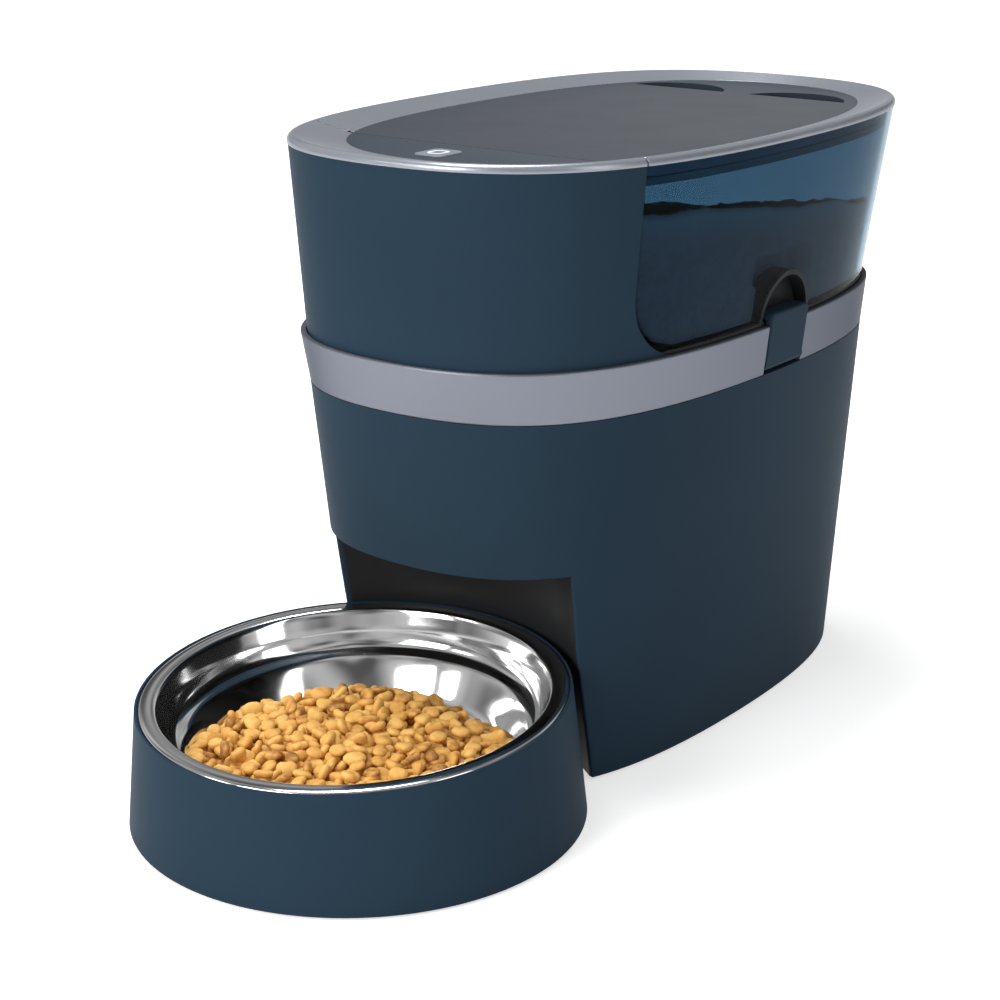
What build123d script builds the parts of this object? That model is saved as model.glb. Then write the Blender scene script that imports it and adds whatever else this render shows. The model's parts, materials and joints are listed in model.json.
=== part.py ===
from build123d import *
import os
from math import cos, sin, tan, pi, radians, degrees, sqrt, atan

# Automatic dry-food pet feeder: a tapering oval housing with a clear hopper on top,
# a belt conveyor inside and a round bowl holder docked in a recess at the front.
# Frame: millimetres, +Z up, bowl towards -Y, origin on the floor under the middle.

# ---------------------------------------------------------------- driving sizes
# Plan ovals of the housing: (half width X, half length Y, centre Y)
BASE_FOOT_OVAL = (93.0, 170.4, 70.6)
BASE_TOP_OVAL = (109.9, 181.8, 62.1)
BAND_TOP_OVAL = (112.8, 184.8, 60.2)
HOPPER_FOOT_OVAL = (109.8, 181.4, 60.2)
HOPPER_TOP_OVAL = (118.0, 194.5, 67.2)
TOP_RING_OVAL = (118.4, 194.9, 67.2)
LID_OPENING_OVAL = (97.6, 175.6, 74.9)
HOUSING_SQUARENESS = 2.72      # 2 is an ellipse, larger is more squared
OPENING_SQUARENESS = 2.49

# Heights above the floor
SHELL_FOOT_Z = 1.5
BASE_TOP_Z = 200.8
BAND_TOP_Z = 227.0
HOPPER_TOP_Z = 322.0
RING_HEIGHT = 4.0
PANEL_DROP = 4.5                # panels below the top of the ring
RING_TOP_Z = HOPPER_TOP_Z + RING_HEIGHT
PANEL_TOP_Z = RING_TOP_Z - PANEL_DROP
SKIRT_FOOT_Z = 204.0
RECESS_CEILING_Z = 120.0

# Walls, gaps and small radii
SHELL_WALL = 3.2
HOPPER_WALL = 2.6
BAND_WALL = 2.6
SPIGOT_WALL = 2.6
SKIRT_WALL = 2.5
FUNNEL_WALL = 2.0
CHUTE_WALL = 2.0
PLUG_WALL = 2.6
PLATE = 3.0
SEAM = 0.3                     # gap between neighbouring mouldings
SLIDE_GAP = 0.4                # gap between mouldings that move apart
SHAFT_GAP = 0.05               # radial running clearance of a shaft
FOOT_EDGE_RADIUS = 2.0
OPENING_EDGE_RADIUS = 1.2
RING_EDGE_RADIUS = 3.0
BAND_EDGE_RADIUS = 0.8

# Lid split and window
SPLIT_Y = -54.3
SPLIT_BEVEL = 0.7
SPLIT_GAP = 0.5
WINDOW_FRONT_Y = -54.5
WINDOW_CORNER_RADIUS = 32.0
SKIRT_DIVIDE_Y = -21.0

# Bowl, its holder and the recess round them
HOLDER_CENTRE_Y = -147.4
HOLDER_FOOT_RADIUS = 114.7
HOLDER_RIM_MARGIN = 1.5         # rim outside the bowl's flange
HOLDER_WALL = 3.0
RIM_CENTRE_Y = -149.5
RIM_CENTRE_Z = 65.6
RIM_TILT_DEG = 3.4
BOWL_FLANGE_RADIUS = 106.6
BOWL_FLANGE_WIDTH = 9.5
BOWL_MOUTH_RADIUS = BOWL_FLANGE_RADIUS - BOWL_FLANGE_WIDTH
HOLDER_RIM_RADIUS = BOWL_FLANGE_RADIUS + HOLDER_RIM_MARGIN
BOWL_SHEET = 1.0
BOWL_SHOULDER_RADIUS = 82.0
BOWL_SHOULDER_DEPTH = 17.0
BOWL_FLOOR_RADIUS = 66.0
BOWL_DEPTH = 44.0
RECESS_FOOT_GAP = 7.7            # recess outside the holder's foot
RECESS_RIM_GAP = 2.9             # recess outside the holder's rim
RECESS_TOP_INSET = 1.9           # recess ceiling inside the holder's rim
RECESS_STATIONS = ((-2.0, HOLDER_FOOT_RADIUS + RECESS_FOOT_GAP), (74.0, HOLDER_RIM_RADIUS + RECESS_RIM_GAP),
                   (RECESS_CEILING_Z, HOLDER_RIM_RADIUS - RECESS_TOP_INSET))      # height, radius
FLANGE_DROP = 0.25             # flange below the holder's rim
LEDGE_THICKNESS = 2.6
PAD_RING_INSET = 9.0

# Latches
LATCH_CENTRE_Y = 70.0
LATCH_WIDTH = 38.0
LATCH_THICKNESS = 4.2
LATCH_TOE_REACH = 3.0         # toe inwards of the pin
LATCH_SPREAD = 6.4            # top of the plate outwards of the pin
LATCH_KNUCKLE_RADIUS = 3.2
EAR_LENGTH = 5.0
LATCH_TOP_Z = 233.5
LATCH_PIVOT_Z = 205.6
LATCH_PIN_RADIUS = 1.2
POCKET_WIDTH = 46.0
POCKET_TOP_Z = 250.5
POCKET_DEPTH = 10.0
NOTCH_GAP = 1.2                 # from the latch slot to the ledge on either side

# Button
BUTTON_SIZE = (17.5, 21.0)
BUTTON_CENTRE_Y = -79.0
BUTTON_TRAVEL = 1.2

# Conveyor
ROLLER_Z = 152.0
DRIVE_ROLLER_Y = -45.0
IDLER_ROLLER_Y = 125.0
ROLLER_RADIUS = 13.0
SHAFT_RADIUS = 4.0
BELT_THICKNESS = 1.6
BELT_GAP = 0.3
BELT_HALF_WIDTH = 42.0
PADDLE_HEIGHT = 9.0
PADDLE_COUNT = 16
TRAY_HALF_WIDTH = 48.0
TRAY_WALL = 3.0
TRAY_FOOT_Z = 124.4
TRAY_TOP_Z = 188.0
THROAT_HALF_WIDTH = 40.0
THROAT_Y = (-10.0, 108.0)
THROAT_FOOT_Z = 178.5

# Gear train: module and teeth
GEAR_MODULE = 1.5
DRIVE_TEETH = 36
PINION_TEETH = 12
GEAR_X = 56.0
GEAR_FACE = 8.0
MOTOR_RADIUS = 18.0
MOTOR_LENGTH = 25.0
MOTOR_SHAFT_RADIUS = 3.0

# Batteries (D size) and base cover
CELL_RADIUS = 16.5
CELL_LENGTH = 60.0
CELL_NUB = (4.6, 1.5)
CELL_ROWS = 2
BAY_CENTRE_Y = 145.5
BAY_HALF = (68.0, 35.5)
BAY_WALL = 2.0
BAY_TOP_Z = 43.0
COVER_Z = (5.0, 8.0)
FOOT_RADIUS = 9.0
FOOT_PLACES = ((66.0, -24.0), (48.0, 208.0))      # right-hand feet, mirrored to the left
SCREW_RADIUS = 1.6

# Inner fittings of the base
BOSS_TOP_Z = 22.0
SHELF_FOOT_Z = 190.0
POST_RADIUS = 5.0
TRAY_FOOT_X = 58.0
TRAY_FEET_Y = (8.0, 96.0)
BOARD_STANDOFFS = [(x, y) for x in (-35.0, 35.0) for y in (15.0, 80.0)]
BOARD_Z = 14.0
BOARD_THICKNESS = 1.6
DOOR_Z = (2.4, 4.8)
INLET_Z = 30.0
INLET_NOSE_RADIUS = 6.2
INLET_BORE_RADIUS = 3.0
INLET_BORE_LENGTH = 10.0

# Chute and funnel
CHUTE_FOOT = (70.0, 34.0, -83.0)      # width, length, centre y
CHUTE_HEAD = (84.0, 34.0, -85.0)
CHUTE_Z = (119.0, 178.0)
CHUTE_BACK_Z = 133.0
CHUTE_FLANGE = (3.0, 2.0)             # reach and thickness
FUNNEL_PLATE_Z = (221.0, 224.0)
FUNNEL_NECK_Z = 183.0
FUNNEL_MOUTH = (160.0, 200.0, 50.0, 88.0)      # width, length, corner radius, centre y

# Lid, control panel and roller bushes
PLUG_DEPTH = 10.0
PLUG_FOOT_Z = HOPPER_TOP_Z - PLUG_DEPTH
SHELF_WIDTH = 4.0
WELL_DEPTH = 19.5
WELL_FOOT_Z = PANEL_TOP_Z - WELL_DEPTH
BUTTON_CORNER = 4.5
BUTTON_PROUD = 0.3
BUTTON_HEIGHT = 7.8
BUTTON_TOP_Z = PANEL_TOP_Z + BUTTON_PROUD
BUTTON_FOOT_Z = BUTTON_TOP_Z - BUTTON_HEIGHT
BUTTON_FLANGE = 1.5
CONTROL_BOARD_DROP = 9.0        # board below the button
CONTROL_BOARD_Z = BUTTON_FOOT_Z - CONTROL_BOARD_DROP
PANEL_POSTS_X = 34.0
BUSH_RADIUS = 7.0
BUSH_FLANGE = (9.0, 1.5)

PIECES = {}


# ---------------------------------------------------------------- helpers
def oval_wire(oval, z, squareness=HOUSING_SQUARENESS):
    """A squarish oval at height z, as four rational curves."""
    half_x, half_y, centre_y = oval
    reach = 0.5 ** (1 / squareness)
    weight = (2 * reach - 1) / (2 - 2 * reach)
    tips = [(half_x, 0), (0, half_y), (-half_x, 0), (0, -half_y)]
    curves = []
    for index in range(4):
        x0, y0 = tips[index]
        x1, y1 = tips[(index + 1) % 4]
        curves.append(Bezier((x0, centre_y + y0, z), (x0 + x1, centre_y + y0 + y1, z), (x1, centre_y + y1, z),
                             weights=[1, weight, 1]))
    return Wire(curves)


def shrink(oval, inset):
    """The oval moved in by inset all round."""
    return (oval[0] - inset, oval[1] - inset, oval[2])


def between(low, z_low, high, z_high, z):
    """The oval at height z on the straight taper between two ovals."""
    share = (z - z_low) / (z_high - z_low)
    return tuple(a + share * (b - a) for a, b in zip(low, high))


def base_oval(z, inset=0.0):
    return shrink(between(BASE_FOOT_OVAL, 0.0, BASE_TOP_OVAL, BASE_TOP_Z, z), inset)


def upper_oval(z, inset=0.0):
    return shrink(between(HOPPER_FOOT_OVAL, BAND_TOP_Z, HOPPER_TOP_OVAL, HOPPER_TOP_Z, z), inset)


def taper(oval_low, z_low, oval_high, z_high, squareness=HOUSING_SQUARENESS):
    """A solid with straight sides between two ovals."""
    wires = [oval_wire(oval_low, z_low, squareness), oval_wire(oval_high, z_high, squareness)]
    return Solid.make_loft(wires, ruled=True)


def base_taper(z_low, z_high, inset=0.0):
    return taper(base_oval(z_low, inset), z_low, base_oval(z_high, inset), z_high)


def upper_taper(z_low, z_high, inset=0.0):
    return taper(upper_oval(z_low, inset), z_low, upper_oval(z_high, inset), z_high)


def slab(oval, z_low, z_high, squareness=HOUSING_SQUARENESS):
    """A flat plate of oval outline."""
    return taper(oval, z_low, oval, z_high, squareness)


def block(x, y, z):
    """A box given by its (low, high) limits on each axis."""
    size = [high - low for low, high in (x, y, z)]
    centre = [(high + low) / 2 for low, high in (x, y, z)]
    return Pos(*centre) * Box(*size)


def rod(radius, start, direction, length):
    """A round bar from start along direction."""
    return Solid.make_cylinder(radius, length, Plane(origin=start, z_dir=direction))


def both_sides(shape):
    return [shape, shape.mirror(Plane.YZ)]


def largest(shape):
    """The main solid of a cut, without slivers cut loose."""
    return max(shape.solids(), key=lambda solid: solid.volume)


def keep(name, *shapes):
    """Store one node: a single solid, or a group of separate ones."""
    solids = []
    for shape in shapes:
        solids.extend(shape.solids())
    PIECES[name] = solids[0] if len(solids) == 1 else Compound(children=solids)


def yz_prism(*edges, x=(-140.0, 140.0)):
    """A closed outline drawn in (y, z), extruded along X between two limits."""
    face = make_face(Curve() + list(edges))
    upright = Plane(origin=(x[0], 0, 0), x_dir=(0, 1, 0), z_dir=(1, 0, 0))
    return extrude(upright * face, x[1] - x[0])


def xz_prism(points, y):
    """A closed polygon drawn in (x, z), extruded along Y between two limits."""
    face = make_face(Polyline(*points, close=True))
    upright = Plane(origin=(0, y[1], 0), x_dir=(1, 0, 0), z_dir=(0, -1, 0))
    return extrude(upright * face, y[1] - y[0])


def rounded_plate(width, length, corner, centre, z_low, z_high):
    outline = Pos(centre[0], centre[1], z_low) * RectangleRounded(width, length, corner)
    return extrude(outline, z_high - z_low)


def rounded_funnel(low, z_low, high, z_high):
    """A straight funnel between two rounded rectangles given as (width, length, corner, centre y)."""
    ends = []
    for (width, length, corner, centre_y), z in ((low, z_low), (high, z_high)):
        ends.append((Pos(0, centre_y, z) * RectangleRounded(width, length, corner)).face().outer_wire())
    return Solid.make_loft(ends, ruled=True)


# ---------------------------------------------------------------- shared regions
def recess_solid(grow=0.0, ceiling=RECESS_CEILING_Z):
    """The round recess that takes the bowl holder, grown by a wall."""
    (z0, r0), (z1, r1), (z2, r2) = RECESS_STATIONS
    top_radius = r2 + (ceiling - z2) * (r2 - r1) / (z2 - z1)
    outline = Polyline((0, z0), (r0 + grow, z0), (r1 + grow, z1), (top_radius + grow, ceiling), (0, ceiling),
                       close=True)
    return Pos(0, HOLDER_CENTRE_Y, 0) * revolve(Plane.XZ * make_face(outline), Axis.Z)


def window_region(inset=0.0):
    """Everything behind the front edge of the clear window, above its rounded lower corner."""
    front = WINDOW_FRONT_Y + inset
    low = LEDGE_FOOT_Z + inset
    radius = WINDOW_CORNER_RADIUS - inset
    far, high = 320.0, RING_TOP_Z + 20
    mid = radius * (1 - cos(pi / 4))
    return yz_prism(Line((front, low + radius), (front, high)), Line((front, high), (far, high)),
                    Line((far, high), (far, low)), Line((far, low), (front + radius, low)),
                    ThreePointArc((front + radius, low), (front + mid, low + mid), (front, low + radius)))


def lid_region(shift=0.0):
    """Everything behind the line where the top ring is split, moved back by shift."""
    return behind(SPLIT_Y + shift)


SPIGOT_INSET = BAND_WALL + 0.6
SKIRT_INSET = SPIGOT_INSET + SPIGOT_WALL + SLIDE_GAP
LEDGE_FOOT_Z = BAND_TOP_Z - SEAM
LEDGE_TOP_Z = LEDGE_FOOT_Z + HOPPER_WALL
SPIGOT_TOP_Z = LEDGE_FOOT_Z     # the hopper and the front shell stand on the spigot


def skirt(inset, z_low, z_high):
    return slab(shrink(BASE_TOP_OVAL, inset), z_low, z_high)


UPPER_Z = (SHELF_FOOT_Z - 40.0, RING_TOP_Z + 14.0)       # spans everything above the base


def behind(y, z=UPPER_Z):
    return block((-150, 150), (y, 320), z)


def ahead(y, z=UPPER_Z):
    return block((-150, 150), (-320, y), z)


# ---------------------------------------------------------------- base housing
LATCH_PIN_X = BASE_TOP_OVAL[0] - 2.3
LATCH_TOE_X = LATCH_PIN_X - LATCH_TOE_REACH
POCKET_X = HOPPER_FOOT_OVAL[0] - POCKET_DEPTH
LATCH_SLOT = (LATCH_CENTRE_Y - LATCH_WIDTH / 2 - 0.6, LATCH_CENTRE_Y + LATCH_WIDTH / 2 + 0.6)
EAR_INNER_X = LATCH_PIN_X - 3.0

COVER_SCREWS = [(78.0, 30.0), (80.0, 100.0), (30.0, 221.0)]
COVER_SCREWS += [(-x, y) for x, y in COVER_SCREWS]


def make_base_shell():
    outer = base_taper(SHELL_FOOT_Z, BASE_TOP_Z)
    foot_edges = outer.edges().filter_by(lambda edge: abs(edge.center().Z - SHELL_FOOT_Z) < 0.01)
    outer = outer.fillet(FOOT_EDGE_RADIUS, foot_edges)
    spigot = slab(shrink(BASE_TOP_OVAL, SPIGOT_INSET), BASE_TOP_Z - 2, SPIGOT_TOP_Z)
    shell = outer + spigot - base_taper(SHELL_FOOT_Z - 1, SHELF_FOOT_Z, SHELL_WALL)
    shell -= slab(shrink(BASE_TOP_OVAL, SPIGOT_INSET + SPIGOT_WALL), SHELF_FOOT_Z - 1, SPIGOT_TOP_Z + 1)
    inside = base_taper(SHELL_FOOT_Z, BOSS_TOP_Z + 1, SHELL_WALL / 2)
    for x, y in COVER_SCREWS:
        if y > 200:
            boss = block((x - 5, x + 5), (y - 5, 250), (COVER_Z[1], BOSS_TOP_Z))
        else:
            boss = block(sorted((x - 5 * x / abs(x), 1.4 * x)), (y - 5, y + 5), (COVER_Z[1], BOSS_TOP_Z))
        shell += boss & inside
        shell -= rod(SCREW_RADIUS, (x, y, COVER_Z[1] - 1), (0, 0, 1), BOSS_TOP_Z - COVER_Z[1] - 1)
    slot_y = (LATCH_SLOT[0] - EAR_LENGTH - SLIDE_GAP, LATCH_SLOT[1] + EAR_LENGTH + SLIDE_GAP)
    slot_x = (LATCH_PIN_X - 10.0, LATCH_PIN_X + 20.0)
    for slot in both_sides(block(slot_x, slot_y, (BASE_TOP_Z, SPIGOT_TOP_Z + 1))):
        shell -= slot
    shell -= rod(INLET_NOSE_RADIUS, (0, 225, INLET_Z), (0, 1, 0), 30)
    shell = largest(shell - recess_solid())
    return shell.fillet(OPENING_EDGE_RADIUS, shell.edges().filter_by(on_opening_edge))


def recess_radius(z):
    (z0, r0), (z1, r1), (z2, r2) = RECESS_STATIONS
    return r0 + (r1 - r0) * (z - z0) / (z1 - z0) if z < z1 else r1 + (r2 - r1) * (z - z1) / (z2 - z1)


def on_opening_edge(edge):
    """True for the outer edges of the recess opening in the housing."""
    point = edge.position_at(0.5)
    half_x, half_y, centre_y = base_oval(point.Z)
    shares = abs(point.X) / half_x, abs(point.Y - centre_y) / half_y
    across = sum(share ** HOUSING_SQUARENESS for share in shares)
    from_axis = sqrt(point.X ** 2 + (point.Y - HOLDER_CENTRE_Y) ** 2)
    on_wall = abs(from_axis - recess_radius(point.Z)) < 0.3 or abs(point.Z - RECESS_CEILING_Z) < 0.01
    return on_wall and abs(across - 1) < 0.012 and SHELL_FOOT_Z + 3 < point.Z < RECESS_CEILING_Z + 0.01


def make_recess_liner():
    liner = recess_solid(PLATE, RECESS_CEILING_Z + PLATE) - recess_solid()
    liner &= base_taper(SHELL_FOOT_Z, RECESS_CEILING_Z + PLATE, SHELL_WALL)
    width, length, centre_y = CHUTE_FOOT
    return largest(liner - rounded_plate(width + 1, length + 1, 4, (0, centre_y), RECESS_CEILING_Z - 1,
                                         RECESS_CEILING_Z + PLATE + 1))


BAY_Y = (BAY_CENTRE_Y - BAY_HALF[1], BAY_CENTRE_Y + BAY_HALF[1])
DOOR_OPENING = (BAY_HALF[0] - 4.0, BAY_HALF[1] - 2.0)
DOOR_HALF_WIDTH = BAY_HALF[0] - 0.3


def make_base_cover():
    cover = base_taper(COVER_Z[0], COVER_Z[1], SHELL_WALL + SEAM)
    cover -= recess_solid(PLATE + SEAM)
    cover -= rounded_plate(2 * DOOR_OPENING[0], 2 * DOOR_OPENING[1], 3, (0, BAY_CENTRE_Y), 0, 20)
    for x, y in COVER_SCREWS:
        cover -= rod(SCREW_RADIUS, (x, y, 0), (0, 0, 1), 20)
    for x in (-TRAY_FOOT_X, TRAY_FOOT_X):
        for y in TRAY_FEET_Y:
            cover += rod(POST_RADIUS, (x, y, COVER_Z[1]), (0, 0, 1), TRAY_FOOT_Z - COVER_Z[1])
            cover -= rod(SCREW_RADIUS, (x, y, TRAY_FOOT_Z - 12), (0, 0, 1), 13)
    for x, y in BOARD_STANDOFFS:
        cover += rod(3.0, (x, y, COVER_Z[1]), (0, 0, 1), BOARD_Z - COVER_Z[1])
        cover -= rod(1.0, (x, y, COVER_Z[1]), (0, 0, 1), BOARD_Z)
    rail_y = (BAY_Y[0] - 4, BAY_Y[1] + 8)
    lip_x = DOOR_HALF_WIDTH - 2.0
    for rail in both_sides(block((BAY_HALF[0], BAY_HALF[0] + 3), rail_y, (DOOR_Z[0] - 0.2, COVER_Z[0]))
                           + block((lip_x, BAY_HALF[0] + 1), rail_y, (DOOR_Z[0] - 0.2, DOOR_Z[0] + 0.8))):
        cover += rail
    return largest(cover)


def make_battery_door():
    half_width = DOOR_HALF_WIDTH - 2.0 - SEAM
    plate_y = (BAY_Y[0] - 4, BAY_Y[1] + 4)
    plate = block((-half_width, half_width), plate_y, DOOR_Z)
    plate += block((-DOOR_HALF_WIDTH, DOOR_HALF_WIDTH), plate_y, (DOOR_Z[0] + 1.1, DOOR_Z[1]))
    for index in range(5):
        y = BAY_CENTRE_Y - 10 + 5 * index
        plate -= block((-15, 15), (y - 1, y + 1), (DOOR_Z[0] - 1, DOOR_Z[0] + 0.7))
    return plate


def make_battery_bay():
    outer_x = BAY_HALF[0] + BAY_WALL
    outer = block((-outer_x, outer_x), (BAY_Y[0] - BAY_WALL, BAY_Y[1] + BAY_WALL),
                  (COVER_Z[1], BAY_TOP_Z + BAY_WALL))
    inner = block((-BAY_HALF[0], BAY_HALF[0]), BAY_Y, (COVER_Z[1] - 1, BAY_TOP_Z))
    return outer - inner


def battery_axes():
    """Centre line (y, z) and direction of the cells in each row."""
    pitch = 2 * BAY_HALF[1] / CELL_ROWS
    return [(BAY_Y[0] + pitch * (row + 0.5), COVER_Z[1] + 0.3 + CELL_RADIUS, 1 if row % 2 else -1)
            for row in range(CELL_ROWS)]


def make_battery_cells():
    cells = []
    nub_radius, nub_length = CELL_NUB
    pitch = CELL_LENGTH + nub_length + 0.2
    for y, z, way in battery_axes():
        for place in (-1, 0):
            start = way * (place * pitch - nub_length / 2)
            can = rod(CELL_RADIUS, (start, y, z), (way, 0, 0), CELL_LENGTH)
            edges = can.edges().filter_by(GeomType.CIRCLE)
            can = can.fillet(1.0, edges)
            cells.append(can + rod(nub_radius, (start + way * CELL_LENGTH, y, z), (way, 0, 0), nub_length))
    return cells


def make_battery_contacts():
    """A flat tab at one end of each row and a tapering coil at the other."""
    contacts = []
    nub_length = CELL_NUB[1]
    pitch = CELL_LENGTH + nub_length + 0.2
    wall_x = BAY_HALF[0]
    tab_thickness = 0.5
    for y, z, way in battery_axes():
        head_x = CELL_LENGTH + nub_length / 2 + 0.1
        far = wall_x - tab_thickness
        contacts.append(block(sorted((way * wall_x, way * far)), (y - 9, y + 9), (z - 12, z + 12))
                        + block(sorted((way * far, way * head_x)), (y - 5, y + 5), (z - 5, z + 5)))
        contacts.append(block(sorted((-way * wall_x, -way * far)), (y - 9, y + 9), (z - 12, z + 12)))
        coil_start = pitch + nub_length / 2 + 0.1
        turns = 3
        for turn in range(turns):
            x = coil_start + 0.6 + (far - coil_start - 1.2) * turn / (turns - 1)
            ring = Solid.make_torus(6.0 + 1.6 * turn, 0.55, Plane(origin=(-way * x, y, z), z_dir=(1, 0, 0)))
            contacts.append(ring)
    return contacts


def make_power_inlet():
    rear_y = base_oval(INLET_Z)[1] + base_oval(INLET_Z)[2]
    body = block((-8, 8), (222, rear_y - 6), (COVER_Z[1], INLET_Z + 8))
    nose = rod(INLET_NOSE_RADIUS - 0.1, (0, rear_y - 7, INLET_Z), (0, 1, 0), 7)
    bore = rod(INLET_BORE_RADIUS, (0, rear_y - INLET_BORE_LENGTH, INLET_Z), (0, 1, 0), INLET_BORE_LENGTH + 1)
    return body + nose - bore


def screw(x, y, head_z, shank, up=1, head_radius=3.1, head_height=1.9, radius=SCREW_RADIUS):
    """A cross-slotted pan screw; up is +1 if its shank points up from the head."""
    head = rod(head_radius, (x, y, head_z), (0, 0, -up), head_height)
    body = head + rod(radius, (x, y, head_z), (0, 0, up), shank)
    slot = 0.5 * head_radius
    for half_x, half_y in ((slot, 0.35), (0.35, slot)):
        z = sorted((head_z - up * (head_height + 1), head_z - up * (head_height - 1)))
        body -= block((x - half_x, x + half_x), (y - half_y, y + half_y), z)
    return body


# ---------------------------------------------------------------- band, latches and front shell
def make_band():
    outer = taper(BASE_TOP_OVAL, BASE_TOP_Z, BAND_TOP_OVAL, BAND_TOP_Z)
    rims = outer.edges().filter_by(lambda edge: not BASE_TOP_Z + 0.01 < edge.center().Z < BAND_TOP_Z - 0.01)
    outer = outer.fillet(BAND_EDGE_RADIUS, rims)
    foot, head = shrink(BASE_TOP_OVAL, BAND_WALL), shrink(BAND_TOP_OVAL, BAND_WALL)
    band = outer - taper(foot, BASE_TOP_Z - 1, head, BAND_TOP_Z + 1)
    for gap in both_sides(block((90, 130), LATCH_SLOT, (190, 240))):
        band -= gap
    slot_low, slot_high = LATCH_SLOT
    for low, high in ((slot_low - EAR_LENGTH, slot_low), (slot_high, slot_high + EAR_LENGTH)):
        ear_z = (BASE_TOP_Z + 0.1, LATCH_PIVOT_Z + 6)
        for ear in both_sides(block((EAR_INNER_X, LATCH_PIN_X + 1.0), (low, high), ear_z)):
            band += ear
    pin_start = LATCH_SLOT[0] - EAR_LENGTH
    for hole in both_sides(rod(LATCH_PIN_RADIUS, (LATCH_PIN_X, pin_start - 1, LATCH_PIVOT_Z), (0, 1, 0),
                               LATCH_WIDTH + 1.2 + 2 * EAR_LENGTH + 2)):
        band -= hole
    return band


def make_latch():
    """The right-hand latch: a plate on a pin, with a toe in the notch of the hopper's ledge."""
    outer_x = LATCH_PIN_X + LATCH_SPREAD
    toe_z = LEDGE_TOP_Z + 0.6
    half = LATCH_WIDTH / 2
    outline = [(LATCH_PIN_X - 2.8, LATCH_PIVOT_Z), (LATCH_PIN_X + LATCH_KNUCKLE_RADIUS, LATCH_PIVOT_Z),
               (outer_x, LATCH_TOP_Z), (LATCH_TOE_X, LATCH_TOP_Z), (LATCH_TOE_X, toe_z),
               (outer_x - LATCH_THICKNESS, toe_z), (LATCH_PIN_X - 0.4, LATCH_PIVOT_Z + 5),
               (LATCH_PIN_X - 2.8, LATCH_PIVOT_Z + 2.4)]
    plate = xz_prism(outline, (LATCH_CENTRE_Y - half, LATCH_CENTRE_Y + half))
    top_edges = plate.edges().filter_by(lambda edge: edge.center().Z > LATCH_TOP_Z - 0.1)
    corners = top_edges.filter_by(lambda edge: abs(edge.tangent_at(0.5).X) > 0.9)
    plate = plate.fillet(3.0, corners)
    lip = plate.edges().filter_by(
        lambda edge: edge.center().X > outer_x - 0.2 and edge.center().Z > LATCH_TOP_Z - 0.1)
    plate = plate.fillet(1.2, lip)
    start = (LATCH_PIN_X, LATCH_CENTRE_Y - half, LATCH_PIVOT_Z)
    latch = plate + rod(LATCH_KNUCKLE_RADIUS, start, (0, 1, 0), LATCH_WIDTH)
    return latch - rod(LATCH_PIN_RADIUS + SHAFT_GAP, start, (0, 1, 0), LATCH_WIDTH)


def make_latch_pin():
    start_y, end_y = LATCH_SLOT[0] - EAR_LENGTH, LATCH_SLOT[1] + EAR_LENGTH
    return rod(LATCH_PIN_RADIUS, (LATCH_PIN_X, start_y, LATCH_PIVOT_Z), (0, 1, 0), end_y - start_y)


def make_front_shell():
    foot_z = LEDGE_FOOT_Z
    shell = upper_taper(foot_z, HOPPER_TOP_Z) - upper_taper(LEDGE_TOP_Z, HOPPER_TOP_Z + 1, SHELL_WALL)
    shell = shell & ahead(SKIRT_DIVIDE_Y)
    shell += skirt(SKIRT_INSET, SKIRT_FOOT_Z, LEDGE_TOP_Z) & ahead(SKIRT_DIVIDE_Y)
    hollow = skirt(SKIRT_INSET + SKIRT_WALL, SKIRT_FOOT_Z - 1, LEDGE_TOP_Z + 1)
    shell -= hollow & ahead(SKIRT_DIVIDE_Y - SKIRT_WALL)
    return largest(shell - window_region(-SEAM))


# ---------------------------------------------------------------- hopper
def latch_pocket(radius, x_low, z_low):
    dome = rod(radius, (x_low, LATCH_CENTRE_Y, POCKET_TOP_Z - POCKET_WIDTH / 2), (1, 0, 0), 125 - x_low)
    return dome & behind(-100, (z_low, 300))


def latch_notch():
    """The gap in the hopper's ledge that the right latch's toe passes as the hopper lifts."""
    notch_y = (LATCH_SLOT[0] - NOTCH_GAP, LATCH_SLOT[1] + NOTCH_GAP)
    return block((POCKET_X, LATCH_PIN_X + 20.0), notch_y, (LEDGE_FOOT_Z - 1, LEDGE_TOP_Z + 1))


def make_latch_cup():
    """The domed cup let into the tank's wall above the right latch, open outwards and downwards."""
    cup = latch_pocket(POCKET_WIDTH / 2 + HOPPER_WALL, POCKET_X, LEDGE_TOP_Z)
    cup &= upper_taper(LEDGE_FOOT_Z, HOPPER_TOP_Z)
    return largest(cup - latch_pocket(POCKET_WIDTH / 2, POCKET_X + HOPPER_WALL, LEDGE_TOP_Z - 1))


def make_hopper_tank():
    """The clear wall of the hopper, standing on the ledge."""
    tank = upper_taper(LEDGE_FOOT_Z, HOPPER_TOP_Z) & window_region()
    tank -= upper_taper(LEDGE_FOOT_Z, HOPPER_TOP_Z + 1, HOPPER_WALL) & window_region(HOPPER_WALL)
    tank &= behind(-100, (LEDGE_TOP_Z, HOPPER_TOP_Z + 1))
    for cup_seat in both_sides(latch_pocket(POCKET_WIDTH / 2 + HOPPER_WALL, POCKET_X, LEDGE_TOP_Z)):
        tank -= cup_seat
    lid_drop = PANEL_TOP_Z - PLATE - 3.0
    tank -= block((-96, 96), (WINDOW_FRONT_Y - 1, WINDOW_FRONT_Y + HOPPER_WALL), (lid_drop, HOPPER_TOP_Z + 1))
    return largest(tank)


def make_hopper_ledge():
    """The flat foot that rests on the base, in two parts between the notches for the latches."""
    ledge = upper_taper(LEDGE_FOOT_Z, HOPPER_TOP_Z) & window_region()
    ledge &= behind(-100, (LEDGE_FOOT_Z, LEDGE_TOP_Z))
    ledge -= skirt(SKIRT_INSET, SKIRT_FOOT_Z, LEDGE_TOP_Z + 1) & behind(SKIRT_DIVIDE_Y + SEAM)
    for notch in both_sides(latch_notch()):
        ledge -= notch
    return ledge.solids()


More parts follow.
